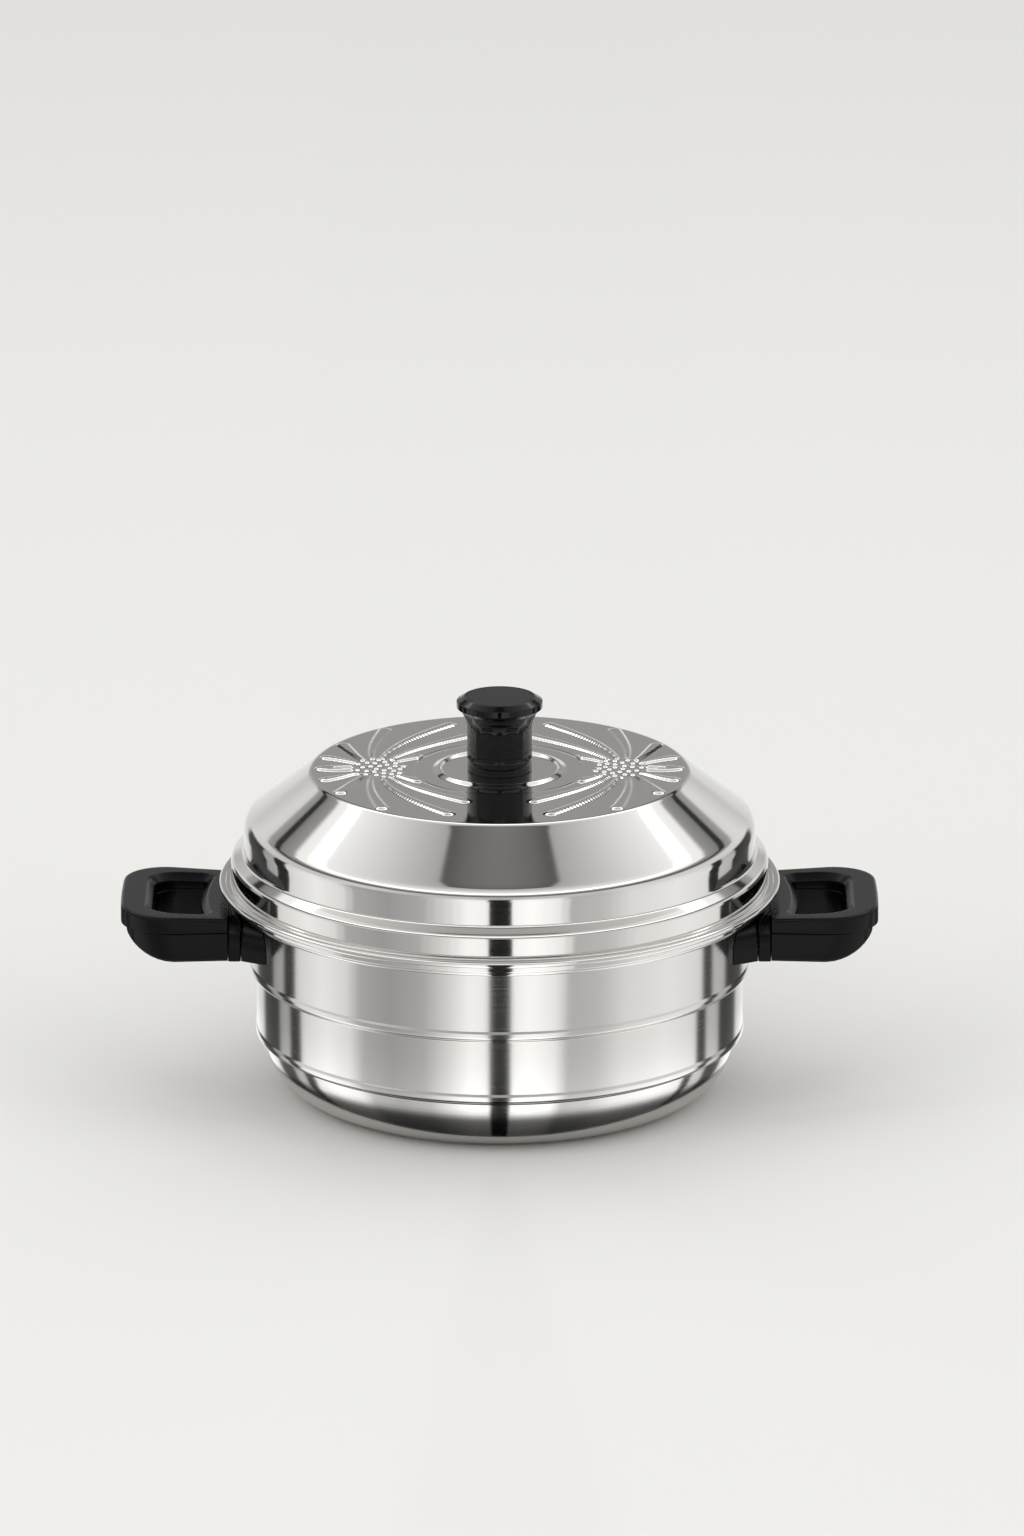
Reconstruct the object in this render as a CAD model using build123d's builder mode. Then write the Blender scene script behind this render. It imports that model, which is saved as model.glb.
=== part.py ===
from build123d import *
from math import acos, cos, pi, radians, sin, sqrt
import os

# Idli steamer: a stepped pot with two side handles, two flat steaming trays,
# two idli plates and a domed lid, stacked on one axis as they are in use.
# Millimetres, +Z up, origin at the centre of the pot's base.

# Sheet gauges and clearances
pot_gauge = 0.9
lid_gauge = 0.8
plate_gauge = 0.8
strap_gauge = 1.0
bracket_gauge = 1.2
seat_gap = 0.3
weld_gap = 0.1
joint_line = 0.2
screw_clearance = 0.1
cut_overrun = 2.0

# Pot: radii are of the outside, heights are from the table
pot_height = 102.0
rim_radius = 130.0
hem_width = 2.8
hem_height = 4.7
mouth_depth = 6.0
mouth_ledge_width = 8.0
upper_step_width = 2.9
lower_step_width = 4.3
upper_step_height = 61.0
lower_step_height = 29.0
step_rise = 1.6
pot_corner_radius = 27.0
corner_flats = 3

# Lid: heights are from the plane where it sits on the pot's rim
lid_rim_clearance = 0.6
lid_bead_width = 3.2
lid_bead_drop = 1.5
lid_bead_rise = 1.6
lid_flange_width = 1.9
skirt_height = 12.6
shoulder_width = 6.1
shoulder_rise = 2.9
upper_skirt_rise = 15.4
cone_run = 32.0
cone_rise = 24.4
lid_headroom = 4.0

# Knob: heights are from the lid's top
knob_base_radius = 15.4
knob_collar_height = 6.4
knob_stem_height = 23.0
knob_panels = 8
knob_panel_depth = 0.8
knob_panel_share = 0.8
knob_neck_radius = 18.1
knob_neck_height = 6.2
knob_cap_radius = 20.5
knob_cap_flare = 1.8
knob_band_height = 3.0
knob_bevel_height = 2.0
knob_top_radius = 17.0
knob_disc_radius = 15.8
knob_disc_thickness = 1.0
knob_screw_radius = 2.0
knob_screw_grip = 12.0
knob_screw_head = 7.0
knob_screw_head_height = 2.6
knob_washer_radius = 7.0
knob_washer_thickness = 1.0
screw_sides = 12

# Trays: heights are from the underside of the floor
tray_clearance = 1.4
tray_bead_width = 1.5
tray_bead_rise = 1.4
tray_flange_width = 10.5
tray_wall_run = 6.0
tray_depth = 8.0

# Idli plates: heights are from the underside of the web
idli_plate_clearance = 3.3
idli_rim_slope = 3.4
idli_rim_height = 3.8
idli_rim_width = 1.6
cavity_radius = 26.5
cavity_depth = 12.8
cavity_floor_radius = 9.0
cavity_flats = 3
cavity_sides = 20
cavity_ring_count = 6
cavity_margin = 3.7
steam_hole_radius = 3.3
steam_hole_sides = 6
outer_hole_margin = 15.6
outer_hole_spread = 8.0

# Straps: folded strips that carry the plate above
strap_height = 24.5
strap_foot = 4.0
tray_strap_width = 6.0
tray_strap_length = 27.0
tray_strap_margin = 0.8
idli_strap_width = 7.0
idli_strap_length = 22.0
idli_strap_margin = 3.1

# Handles: they hang just below the mouth ledge, and reach out along X
handle_drop = 1.0
handle_height = 21.4
handle_tip_rise = 2.0
root_gap = 9.8
grip_length = 50.7
grip_tip_bow = 1.5
grip_tip_half_width = 42.5
grip_flare = 4.0
grip_corner_radius = 20.0
grip_lip = 0.8
grip_top_bevel = 1.6
cover_height = 6.8
underside_flat_length = 24.0
underside_tip_drop = 2.2
opening_root_bar = 13.5
opening_tip_bar = 14.4
opening_side_bar = 13.0
opening_corner_radius = 6.0
opening_bevel = 3.4
collar_thickness = 6.0
collar_drop = 1.6
guard_drop = 3.8
guard_flare = 6.0
block_corner_radius = 12.0
bracket_half_width = 12.0
bracket_lift = 1.4
bracket_height = 12.0
boss_half_width = 6.0
boss_setback = 0.8
bolt_radius = 2.0
bolt_thread_length = 6.0
bolt_head_radius = 4.0
bolt_head_height = 2.6
bolt_sink = 3.2

# Pot and lid: what follows from the sizes above
mouth_radius = rim_radius - hem_width
upper_band_radius = mouth_radius - mouth_ledge_width
middle_band_radius = upper_band_radius - upper_step_width
lower_band_radius = middle_band_radius - lower_step_width
corner_centre = lower_band_radius - pot_corner_radius
mouth_ledge_height = pot_height - mouth_depth
lower_ledge_height = lower_step_height + step_rise / 2 + pot_gauge
lid_seat_height = pot_height + seat_gap
lid_seat_radius = rim_radius + lid_rim_clearance
skirt_radius = rim_radius - lid_flange_width
shoulder_radius = skirt_radius - shoulder_width
lid_top_radius = shoulder_radius - cone_run

# Trays and plates: each takes its width from the band of the pot that it hangs in
tray_radius = middle_band_radius - pot_gauge - tray_clearance
tray_wall_radius = tray_radius - tray_flange_width
tray_floor_radius = tray_wall_radius - tray_wall_run
tray_strap_offset = tray_wall_radius + tray_strap_margin
idli_plate_radius = upper_band_radius - pot_gauge - idli_plate_clearance
idli_rim_inside = idli_plate_radius - idli_rim_slope
idli_strap_offset = idli_rim_inside - idli_strap_margin - idli_strap_width
half_pitch = 180 / cavity_ring_count
cavity_ring_radius = idli_strap_offset - cavity_margin - cavity_radius
inner_hole_ring_radius = cavity_ring_radius / (2 * cos(radians(half_pitch)))
outer_hole_ring_radius = idli_rim_inside - outer_hole_margin

# The stack: the lower tray hangs on the pot's lower ledge, and every plate above
# it rests on the straps of the one below
ledge_slope = step_rise / lower_step_width
tray_ledge_height = lower_ledge_height - ledge_slope * (middle_band_radius - pot_gauge - tray_radius)
tray_strap_base = tray_depth + plate_gauge
tray_lower_floor = tray_ledge_height + seat_gap - tray_depth
tray_upper_floor = tray_lower_floor + tray_strap_base + strap_height + seat_gap - tray_depth
idli_lower_web = tray_upper_floor + tray_strap_base + strap_height + seat_gap
idli_upper_web = idli_lower_web + plate_gauge + strap_height + seat_gap
stack_top = idli_upper_web + plate_gauge + strap_height

# The lid's cone starts high enough to clear the topmost straps
strap_edge_run = shoulder_radius - idli_strap_offset - idli_strap_width
cone_start = max(
    lid_seat_height + skirt_height + shoulder_rise + upper_skirt_rise,
    stack_top + lid_headroom - strap_edge_run * cone_rise / cone_run,
)
lid_top_height = cone_start + cone_rise
knob_bore = knob_screw_radius + screw_clearance

# Handles: what follows from the pot and the sizes above
handle_root_top = mouth_ledge_height - handle_drop
handle_bottom = handle_root_top - handle_height
handle_seam = handle_root_top - cover_height
grip_root = upper_band_radius + root_gap
grip_tip = grip_root + grip_length
grip_root_half_width = grip_tip_half_width - grip_flare
opening_half_width = grip_tip_half_width - opening_side_bar
underside_flat_end = grip_root + underside_flat_length
underside_tip_height = handle_seam - underside_tip_drop
opening_inner_radius = grip_root + opening_root_bar
opening_end = grip_tip - opening_tip_bar
collar_face = grip_root - joint_line
guard_face = collar_face - collar_thickness - joint_line
bracket_bottom = handle_bottom + bracket_lift
bolt_height = bracket_bottom + bracket_height / 2
bolt_seat = opening_inner_radius - bolt_sink
boss_end = grip_root - boss_setback
bolt_plane = Plane(origin=(bolt_seat, 0, bolt_height), z_dir=(1, 0, 0))

os.makedirs("parts", exist_ok=True)


def keep(part, name):
    """Labels a finished piece and writes it to its own file."""
    part.label = name
    export_step(part, f"parts/{name}.step")


def keep_pair(part, name):
    """Writes a piece of the right-hand side and its mirror image on the left."""
    keep(part, f"{name}_right")
    keep(mirror(part, about=Plane.YZ), f"{name}_left")


def pot_corner(radius):
    """Gives the points of the pot's bottom corner, a quarter turn in equal flats."""
    turns = [pi / 2 * step / corner_flats for step in range(corner_flats + 1)]
    return [
        (corner_centre + radius * sin(turn), pot_corner_radius - radius * cos(turn)) for turn in turns
    ]


def make_bowl(web_top, gauge):
    """Makes a cavity's solid, a sphere in flats grown by a gauge, by crossing turned troughs."""
    centre = (cavity_radius**2 - cavity_floor_radius**2 - cavity_depth**2) / (2 * cavity_depth)
    sphere = sqrt(cavity_radius**2 + centre**2) + gauge
    mouth_turn = acos((centre + gauge) / sphere)
    floor_turn = acos((centre + cavity_depth + gauge) / sphere)
    half = []
    for step in range(cavity_flats + 1):
        turn = mouth_turn + (floor_turn - mouth_turn) * step / cavity_flats
        half.append((sphere * sin(turn), web_top + centre - sphere * cos(turn)))
    other_half = [(-across, height) for across, height in reversed(half)]
    with BuildPart() as bowl:
        for step in range(cavity_sides // 2):
            with BuildSketch(Plane.XZ.rotated((0, 0, 360 * step / cavity_sides))):
                with BuildLine():
                    Polyline(*half, *other_half, close=True)
                make_face()
            extrude(amount=sphere, both=True, mode=Mode.INTERSECT if step else Mode.ADD)
    return bowl.part


# Pot: one drawn sheet with two outside steps, a mouth ledge and a rolled hem
with BuildPart() as pot_body:
    with BuildSketch(Plane.XZ):
        with BuildLine():
            Polyline(
                (0, 0),
                *pot_corner(pot_corner_radius),
                (lower_band_radius, lower_step_height - step_rise / 2),
                (middle_band_radius, lower_step_height + step_rise / 2),
                (middle_band_radius, upper_step_height - step_rise / 2),
                (upper_band_radius, upper_step_height + step_rise / 2),
                (upper_band_radius, mouth_ledge_height - pot_gauge),
                (mouth_radius + pot_gauge, mouth_ledge_height - pot_gauge),
                (mouth_radius + pot_gauge, pot_height - hem_height),
                (rim_radius, pot_height - hem_height),
                (rim_radius, pot_height),
                (mouth_radius, pot_height),
                (mouth_radius, mouth_ledge_height),
                (upper_band_radius - pot_gauge, mouth_ledge_height),
                (upper_band_radius - pot_gauge, upper_step_height + step_rise / 2 + pot_gauge),
                (middle_band_radius - pot_gauge, upper_step_height - step_rise / 2 + pot_gauge),
                (middle_band_radius - pot_gauge, lower_ledge_height),
                (lower_band_radius - pot_gauge, lower_ledge_height - step_rise),
                *reversed(pot_corner(pot_corner_radius - pot_gauge)),
                (0, pot_gauge),
                close=True,
            )
        make_face()
    revolve(axis=Axis.Z)
keep(pot_body.part, "pot_body")

# Lid: rim bead, flange, two skirts, a sloping cone and a level top
with BuildPart() as lid_shell:
    with BuildSketch(Plane.XZ):
        with BuildLine():
            Polyline(
                (knob_bore, lid_top_height),
                (lid_top_radius, lid_top_height),
                (shoulder_radius, cone_start),
                (shoulder_radius, lid_seat_height + skirt_height + shoulder_rise),
                (skirt_radius, lid_seat_height + skirt_height),
                (skirt_radius, lid_seat_height + lid_gauge),
                (lid_seat_radius, lid_seat_height + lid_bead_rise),
                (lid_seat_radius + lid_bead_width, lid_seat_height + lid_bead_rise),
                (lid_seat_radius + lid_bead_width, lid_seat_height - lid_bead_drop),
                (lid_seat_radius, lid_seat_height - lid_bead_drop),
                (lid_seat_radius, lid_seat_height),
                (skirt_radius - lid_gauge, lid_seat_height),
                (skirt_radius - lid_gauge, lid_seat_height + skirt_height - lid_gauge),
                (
                    shoulder_radius - lid_gauge,
                    lid_seat_height + skirt_height + shoulder_rise - lid_gauge,
                ),
                (shoulder_radius - lid_gauge, cone_start - lid_gauge),
                (lid_top_radius - lid_gauge, lid_top_height - lid_gauge),
                (knob_bore, lid_top_height - lid_gauge),
                close=True,
            )
        make_face()
    revolve(axis=Axis.Z)
keep(lid_shell.part, "lid_shell")

# Knob: a panelled stem, a flared neck and a bevelled cap with a recess for its disc
stem_end = lid_top_height + knob_stem_height
neck_end = stem_end + knob_neck_height
flare_end = neck_end + knob_cap_flare
band_end = flare_end + knob_band_height
knob_top = band_end + knob_bevel_height
disc_bottom = knob_top - knob_disc_thickness
bore_end = lid_top_height + knob_screw_grip + screw_clearance
panel_width = knob_panel_share * 2 * pi * knob_base_radius / knob_panels
with BuildPart() as lid_knob:
    with BuildSketch(Plane.XZ):
        with BuildLine():
            Polyline(
                (knob_bore, lid_top_height),
                (knob_base_radius, lid_top_height),
                (knob_base_radius, stem_end),
                (knob_neck_radius, neck_end),
                (knob_cap_radius, flare_end),
                (knob_cap_radius, band_end),
                (knob_top_radius, knob_top),
                (knob_disc_radius + joint_line, knob_top),
                (knob_disc_radius + joint_line, disc_bottom),
                (0, disc_bottom),
                (0, bore_end),
                (knob_bore, bore_end),
                close=True,
            )
        make_face()
    revolve(axis=Axis.Z)
    with BuildSketch(Plane.XY.offset(lid_top_height + knob_collar_height)):
        with PolarLocations(knob_base_radius, knob_panels):
            Rectangle(2 * knob_panel_depth, panel_width)
    extrude(amount=knob_stem_height - knob_collar_height, mode=Mode.SUBTRACT)
keep(lid_knob.part, "lid_knob")

with BuildPart() as knob_disc:
    with BuildSketch(Plane.XY.offset(disc_bottom)):
        Circle(knob_disc_radius)
    extrude(amount=knob_disc_thickness)
keep(knob_disc.part, "knob_disc")

# Washer and screw that hold the knob from inside the lid
washer_top = lid_top_height - lid_gauge
with BuildPart() as knob_washer:
    with BuildSketch(Plane.XY.offset(washer_top)):
        Circle(knob_washer_radius)
        Circle(knob_bore, mode=Mode.SUBTRACT)
    extrude(amount=-knob_washer_thickness)
keep(knob_washer.part, "knob_washer")

screw_seat = washer_top - knob_washer_thickness
with BuildPart() as knob_screw:
    with BuildSketch(Plane.XY.offset(screw_seat)):
        RegularPolygon(knob_screw_head / 2, 6)
    extrude(amount=-knob_screw_head_height)
    with BuildSketch(Plane.XY.offset(screw_seat)):
        RegularPolygon(knob_screw_radius, screw_sides)
    extrude(amount=lid_top_height + knob_screw_grip - screw_seat)
keep(knob_screw.part, "knob_screw")


def make_tray(floor_height, name):
    """Makes a tray: a floor, a leaning wall, a level flange and a rim bead."""
    wall_length = sqrt(tray_wall_run**2 + tray_depth**2)
    inset = plate_gauge * (wall_length - tray_wall_run) / tray_depth
    flange_top = tray_depth + plate_gauge
    with BuildPart() as tray:
        with BuildSketch(Plane.XZ):
            with BuildLine():
                Polyline(
                    (0, floor_height),
                    (tray_floor_radius, floor_height),
                    (tray_wall_radius, floor_height + tray_depth),
                    (tray_radius, floor_height + tray_depth),
                    (tray_radius, floor_height + flange_top + tray_bead_rise),
                    (tray_radius - tray_bead_width, floor_height + flange_top),
                    (tray_wall_radius - inset, floor_height + flange_top),
                    (tray_floor_radius - inset, floor_height + plate_gauge),
                    (0, floor_height + plate_gauge),
                    close=True,
                )
            make_face()
        revolve(axis=Axis.Z)
    keep(tray.part, name)


def make_idli_plate(web_height, name):
    """Makes an idli plate: a web with steam holes, a raised rim and seven pressed cavities."""
    web_top = web_height + plate_gauge
    bowl_outside = make_bowl(web_top, plate_gauge)
    bowl_inside = make_bowl(web_top, 0)
    with BuildPart() as plate:
        with BuildSketch(Plane.XZ):
            with BuildLine():
                Polyline(
                    (0, web_height),
                    (idli_plate_radius - idli_rim_width, web_height),
                    (idli_plate_radius, web_height + idli_rim_height - idli_rim_width),
                    (idli_plate_radius, web_height + idli_rim_height),
                    (idli_plate_radius - idli_rim_width, web_height + idli_rim_height),
                    (idli_rim_inside, web_top),
                    (0, web_top),
                    close=True,
                )
            make_face()
        revolve(axis=Axis.Z)
        with Locations((0, 0)):
            add(bowl_outside)
            add(bowl_inside, mode=Mode.SUBTRACT)
        with PolarLocations(cavity_ring_radius, cavity_ring_count):
            add(bowl_outside)
            add(bowl_inside, mode=Mode.SUBTRACT)
        with BuildSketch(Plane.XY.offset(web_height)):
            with PolarLocations(inner_hole_ring_radius, cavity_ring_count, half_pitch):
                RegularPolygon(steam_hole_radius, steam_hole_sides)
            with PolarLocations(cavity_ring_radius, cavity_ring_count, half_pitch):
                RegularPolygon(steam_hole_radius, steam_hole_sides)
            for side in (-1, 1):
                with PolarLocations(
                    outer_hole_ring_radius, cavity_ring_count, half_pitch + side * outer_hole_spread
                ):
                    RegularPolygon(steam_hole_radius, steam_hole_sides)
        extrude(amount=plate_gauge, mode=Mode.SUBTRACT)
    keep(plate.part, name)


def make_straps(base_height, offset, width, length, name):
    """Makes a plate's two straps: an upright U of folded strip with its feet turned outwards."""
    half = length / 2
    top = base_height + strap_height
    foot_top = base_height + strap_gauge
    with BuildPart() as strap:
        with BuildSketch(Plane.YZ.offset(offset)):
            with BuildLine():
                Polyline(
                    (-half - strap_foot, base_height),
                    (-half - strap_foot, foot_top),
                    (-half, foot_top),
                    (-half, top),
                    (half, top),
                    (half, foot_top),
                    (half + strap_foot, foot_top),
                    (half + strap_foot, base_height),
                    (half - strap_gauge, base_height),
                    (half - strap_gauge, top - strap_gauge),
                    (strap_gauge - half, top - strap_gauge),
                    (strap_gauge - half, base_height),
                    close=True,
                )
            make_face()
        extrude(amount=width)
    keep_pair(strap.part, f"{name}_strap")


for level, tray_floor in (("lower", tray_lower_floor), ("upper", tray_upper_floor)):
    make_tray(tray_floor, f"tray_{level}")
    make_straps(
        tray_floor + tray_strap_base,
        tray_strap_offset,
        tray_strap_width,
        tray_strap_length,
        f"tray_{level}",
    )
for level, web in (("lower", idli_lower_web), ("upper", idli_upper_web)):
    make_idli_plate(web, f"idli_plate_{level}")
    make_straps(
        web + plate_gauge,
        idli_strap_offset,
        idli_strap_width,
        idli_strap_length,
        f"idli_plate_{level}",
    )

# Handles: each is drawn on the right of the pot and mirrored to the left
with BuildSketch() as grip_plan:
    with BuildLine():
        ThreePointArc(
            (grip_tip - grip_tip_bow, -grip_tip_half_width),
            (grip_tip, 0),
            (grip_tip - grip_tip_bow, grip_tip_half_width),
        )
        Polyline(
            (grip_tip - grip_tip_bow, grip_tip_half_width),
            (grip_root, grip_root_half_width),
            (grip_root, -grip_root_half_width),
            (grip_tip - grip_tip_bow, -grip_tip_half_width),
        )
    make_face()
    fillet(grip_plan.vertices().group_by(Axis.X)[-1], grip_corner_radius)

opening_corner = sqrt(opening_inner_radius**2 - opening_half_width**2)
with BuildSketch() as opening_plan:
    with BuildLine():
        ThreePointArc(
            (opening_corner, -opening_half_width),
            (opening_inner_radius, 0),
            (opening_corner, opening_half_width),
        )
        Polyline(
            (opening_corner, opening_half_width),
            (opening_end, opening_half_width),
            (opening_end, -opening_half_width),
            (opening_corner, -opening_half_width),
        )
    make_face()
    fillet(opening_plan.vertices(), opening_corner_radius)

# Lower half of the grip: a ring with an underside that sweeps up to the tip, and
# the sunk hole for its bolt in the wall of the finger opening
underside_rise = underside_tip_height - handle_bottom
underside_run = grip_tip - underside_flat_end
underside_radius = (underside_run**2 + underside_rise**2) / (2 * underside_rise)
underside_middle = underside_run / 2
with BuildPart() as grip_lower:
    with BuildSketch(Plane.XY.offset(handle_bottom)):
        add(grip_plan.sketch)
        add(opening_plan.sketch, mode=Mode.SUBTRACT)
    extrude(amount=handle_seam - handle_bottom)
    with BuildSketch(Plane.XZ):
        with BuildLine():
            ThreePointArc(
                (underside_flat_end, handle_bottom),
                (
                    underside_flat_end + underside_middle,
                    handle_bottom
                    + underside_radius
                    - sqrt(underside_radius**2 - underside_middle**2),
                ),
                (grip_tip, underside_tip_height),
            )
            Polyline(
                (grip_tip, underside_tip_height),
                (grip_tip + cut_overrun, underside_tip_height),
                (grip_tip + cut_overrun, handle_bottom - cut_overrun),
                (underside_flat_end, handle_bottom - cut_overrun),
                (underside_flat_end, handle_bottom),
            )
        make_face()
    extrude(amount=grip_tip_half_width + cut_overrun, both=True, mode=Mode.SUBTRACT)
    with BuildSketch(bolt_plane):
        Circle(bolt_head_radius + joint_line)
    extrude(amount=bolt_sink, mode=Mode.SUBTRACT)
    with BuildSketch(bolt_plane):
        Circle(bolt_radius + screw_clearance)
    extrude(amount=grip_root - bolt_seat, mode=Mode.SUBTRACT)
keep_pair(grip_lower.part, "grip_lower")

# Upper half of the grip: a cover that overhangs the lower half by a small lip and
# rises a little towards its tip
with BuildPart() as grip_cover:
    with BuildSketch(Plane.XY.offset(handle_seam)):
        add(grip_plan.sketch)
        offset(amount=grip_lip)
        with Locations((grip_root, 0)):
            Rectangle(
                2 * grip_tip,
                4 * grip_tip_half_width,
                align=(Align.MIN, Align.CENTER),
                mode=Mode.INTERSECT,
            )
        add(opening_plan.sketch, mode=Mode.SUBTRACT)
    extrude(amount=handle_root_top + handle_tip_rise - handle_seam)
    with BuildSketch(Plane.XZ):
        with BuildLine():
            Polyline(
                (grip_root, handle_root_top),
                (grip_tip + cut_overrun, handle_root_top + handle_tip_rise),
                (grip_tip + cut_overrun, handle_root_top + 2 * handle_tip_rise),
                (grip_root, handle_root_top + 2 * handle_tip_rise),
                close=True,
            )
        make_face()
    extrude(amount=grip_tip_half_width + cut_overrun, both=True, mode=Mode.SUBTRACT)
    top_face = grip_cover.faces(Select.LAST).sort_by(SortBy.AREA)[-1]
    chamfer(top_face.inner_wires()[0].edges(), length=opening_bevel)
    top_face = grip_cover.faces().filter_by(GeomType.PLANE).sort_by(SortBy.AREA)[-2]
    chamfer(top_face.outer_wire().edges(), length=grip_top_bevel)
keep_pair(grip_cover.part, "grip_cover")

# Collar: the block between the grip and the flame guard, open for the bracket's boss
with BuildPart() as handle_collar:
    with BuildSketch(Plane.XY.offset(handle_bottom)):
        with Locations((guard_face + joint_line, 0)):
            Rectangle(collar_thickness, 2 * grip_root_half_width, align=(Align.MIN, Align.CENTER))
    extrude(amount=handle_height - collar_drop)
    fillet(handle_collar.edges().filter_by(Axis.X).group_by(Axis.Z)[-1], radius=block_corner_radius)
    with BuildSketch(Plane.XY.offset(bracket_bottom - joint_line)):
        with Locations((guard_face, 0)):
            Rectangle(
                2 * collar_thickness,
                2 * (boss_half_width + joint_line),
                align=(Align.MIN, Align.CENTER),
            )
    extrude(amount=bracket_height + 2 * joint_line, mode=Mode.SUBTRACT)
keep_pair(handle_collar.part, "handle_collar")

# Flame guard: fills the space between the collar and the pot's round wall, and widens
# towards the pot
guard_wall = upper_band_radius + joint_line
guard_half_width = grip_root_half_width + guard_flare
guard_reach = sqrt(guard_wall**2 - guard_half_width**2)
with BuildPart() as flame_guard:
    with BuildSketch(Plane.XY.offset(handle_bottom)):
        with BuildLine():
            Polyline(
                (0, -guard_half_width),
                (guard_reach, -guard_half_width),
                (guard_face, -grip_root_half_width),
                (guard_face, grip_root_half_width),
                (guard_reach, guard_half_width),
                (0, guard_half_width),
                close=True,
            )
        make_face()
        Circle(guard_wall, mode=Mode.SUBTRACT)
    extrude(amount=handle_height - guard_drop)
    top_edges = flame_guard.faces().sort_by(Axis.Z)[-1].edges().sort_by(Axis.Y)
    fillet([top_edges[0], top_edges[-1]], radius=block_corner_radius)
    with BuildSketch(Plane.XY.offset(bracket_bottom - joint_line)):
        Rectangle(
            guard_face + cut_overrun,
            2 * (bracket_half_width + joint_line),
            align=(Align.MIN, Align.CENTER),
        )
    extrude(amount=bracket_height + 2 * joint_line, mode=Mode.SUBTRACT)
keep_pair(flame_guard.part, "flame_guard")

# Bracket: a curved plate welded to the pot, with a threaded boss for the bolt
bracket_face = upper_band_radius + weld_gap
with BuildPart() as handle_bracket:
    with BuildSketch(Plane.XY.offset(bracket_bottom)):
        Circle(bracket_face + bracket_gauge)
        Rectangle(
            grip_root,
            2 * bracket_half_width,
            align=(Align.MIN, Align.CENTER),
            mode=Mode.INTERSECT,
        )
        Rectangle(boss_end, 2 * boss_half_width, align=(Align.MIN, Align.CENTER))
        Circle(bracket_face, mode=Mode.SUBTRACT)
    extrude(amount=bracket_height)
    with Locations(Plane(origin=(boss_end, 0, bolt_height), z_dir=(1, 0, 0))):
        Hole(radius=bolt_radius + screw_clearance, depth=bolt_thread_length)
keep_pair(handle_bracket.part, "handle_bracket")

# Bolt: a pan head sunk in the finger opening, and a shank into the boss
with BuildPart() as handle_bolt:
    with BuildSketch(bolt_plane):
        RegularPolygon(bolt_head_radius, screw_sides)
    extrude(amount=bolt_head_height)
    with BuildSketch(bolt_plane):
        RegularPolygon(bolt_radius, screw_sides)
    extrude(amount=boss_end - bolt_thread_length + screw_clearance - bolt_seat)
keep_pair(handle_bolt.part, "handle_bolt")
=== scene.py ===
"""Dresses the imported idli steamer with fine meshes, finishes, a studio and a camera.

Every class holds its sizes in millimetres, out from the steamer's axis and up from the
piece's own base. They turn to metres where a mesh is made.
"""

from __future__ import annotations

import logging
import math
import random
from collections.abc import Callable, Iterable, Sequence
from dataclasses import dataclass
from enum import Enum
from typing import Any

import bmesh
import bpy
import numpy as np
from mathutils import Matrix, Vector
from mathutils.geometry import delaunay_2d_cdt

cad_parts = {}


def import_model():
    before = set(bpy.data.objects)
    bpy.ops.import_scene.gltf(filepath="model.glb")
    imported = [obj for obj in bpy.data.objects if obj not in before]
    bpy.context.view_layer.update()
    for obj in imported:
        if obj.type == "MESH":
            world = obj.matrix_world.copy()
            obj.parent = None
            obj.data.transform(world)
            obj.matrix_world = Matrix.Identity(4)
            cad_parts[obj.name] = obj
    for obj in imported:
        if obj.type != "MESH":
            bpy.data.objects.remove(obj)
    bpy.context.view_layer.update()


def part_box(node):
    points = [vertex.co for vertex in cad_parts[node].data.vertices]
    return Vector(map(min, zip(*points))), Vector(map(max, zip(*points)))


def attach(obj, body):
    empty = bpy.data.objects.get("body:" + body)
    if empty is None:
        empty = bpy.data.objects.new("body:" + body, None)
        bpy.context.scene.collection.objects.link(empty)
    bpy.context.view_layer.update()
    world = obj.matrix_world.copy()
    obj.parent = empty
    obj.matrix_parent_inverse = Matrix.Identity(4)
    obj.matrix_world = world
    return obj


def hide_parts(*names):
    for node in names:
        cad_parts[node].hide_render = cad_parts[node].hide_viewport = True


LOG = logging.getLogger("idli_steamer")
MM = 0.001
# The widest turn between two points of a rounded corner.
BEND_STEP = math.radians(11)
# The least cosine that a sideways step is divided by, so that a sharp bend stays short.
LEAST_SLANT = 0.5
# The radius of the flat face that closes a round piece at its axis.
POLE = 0.5
# The band that nearly all of a noise texture's values lie in.
NOISE_BAND = (0.3, 0.7)
# The roughness of what is matt.
MATT = 0.9


class Side(Enum):
    """The side of the pot that a handle or a strap stands on."""

    LEFT = "left"
    RIGHT = "right"


class Level(Enum):
    """The place of a tray or a plate in its pair."""

    LOWER = "lower"
    UPPER = "upper"


class Slot(Enum):
    """The record's material slot names for the fine pieces, which settle takes but does not use."""

    BRUSHED_STEEL = "brushed_steel"
    POLISHED_STEEL = "polished_steel"
    SATIN_STEEL = "satin_steel"
    SATIN_PHENOLIC = "satin_phenolic"
    GLOSS_PHENOLIC = "gloss_phenolic"


# Finishes


def linear(colour: str) -> tuple[float, float, float, float]:
    """Turns an sRGB hex colour to linear RGBA.

    Args:
        colour: The colour as six hex digits after a hash.

    Returns:
        Red, green and blue in linear light, and an alpha of 1.
    """
    channels = (int(colour[place : place + 2], 16) / 255 for place in (1, 3, 5))
    red, green, blue = (c / 12.92 if c <= 0.04045 else ((c + 0.055) / 1.055) ** 2.4 for c in channels)
    return red, green, blue, 1.0


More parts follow.
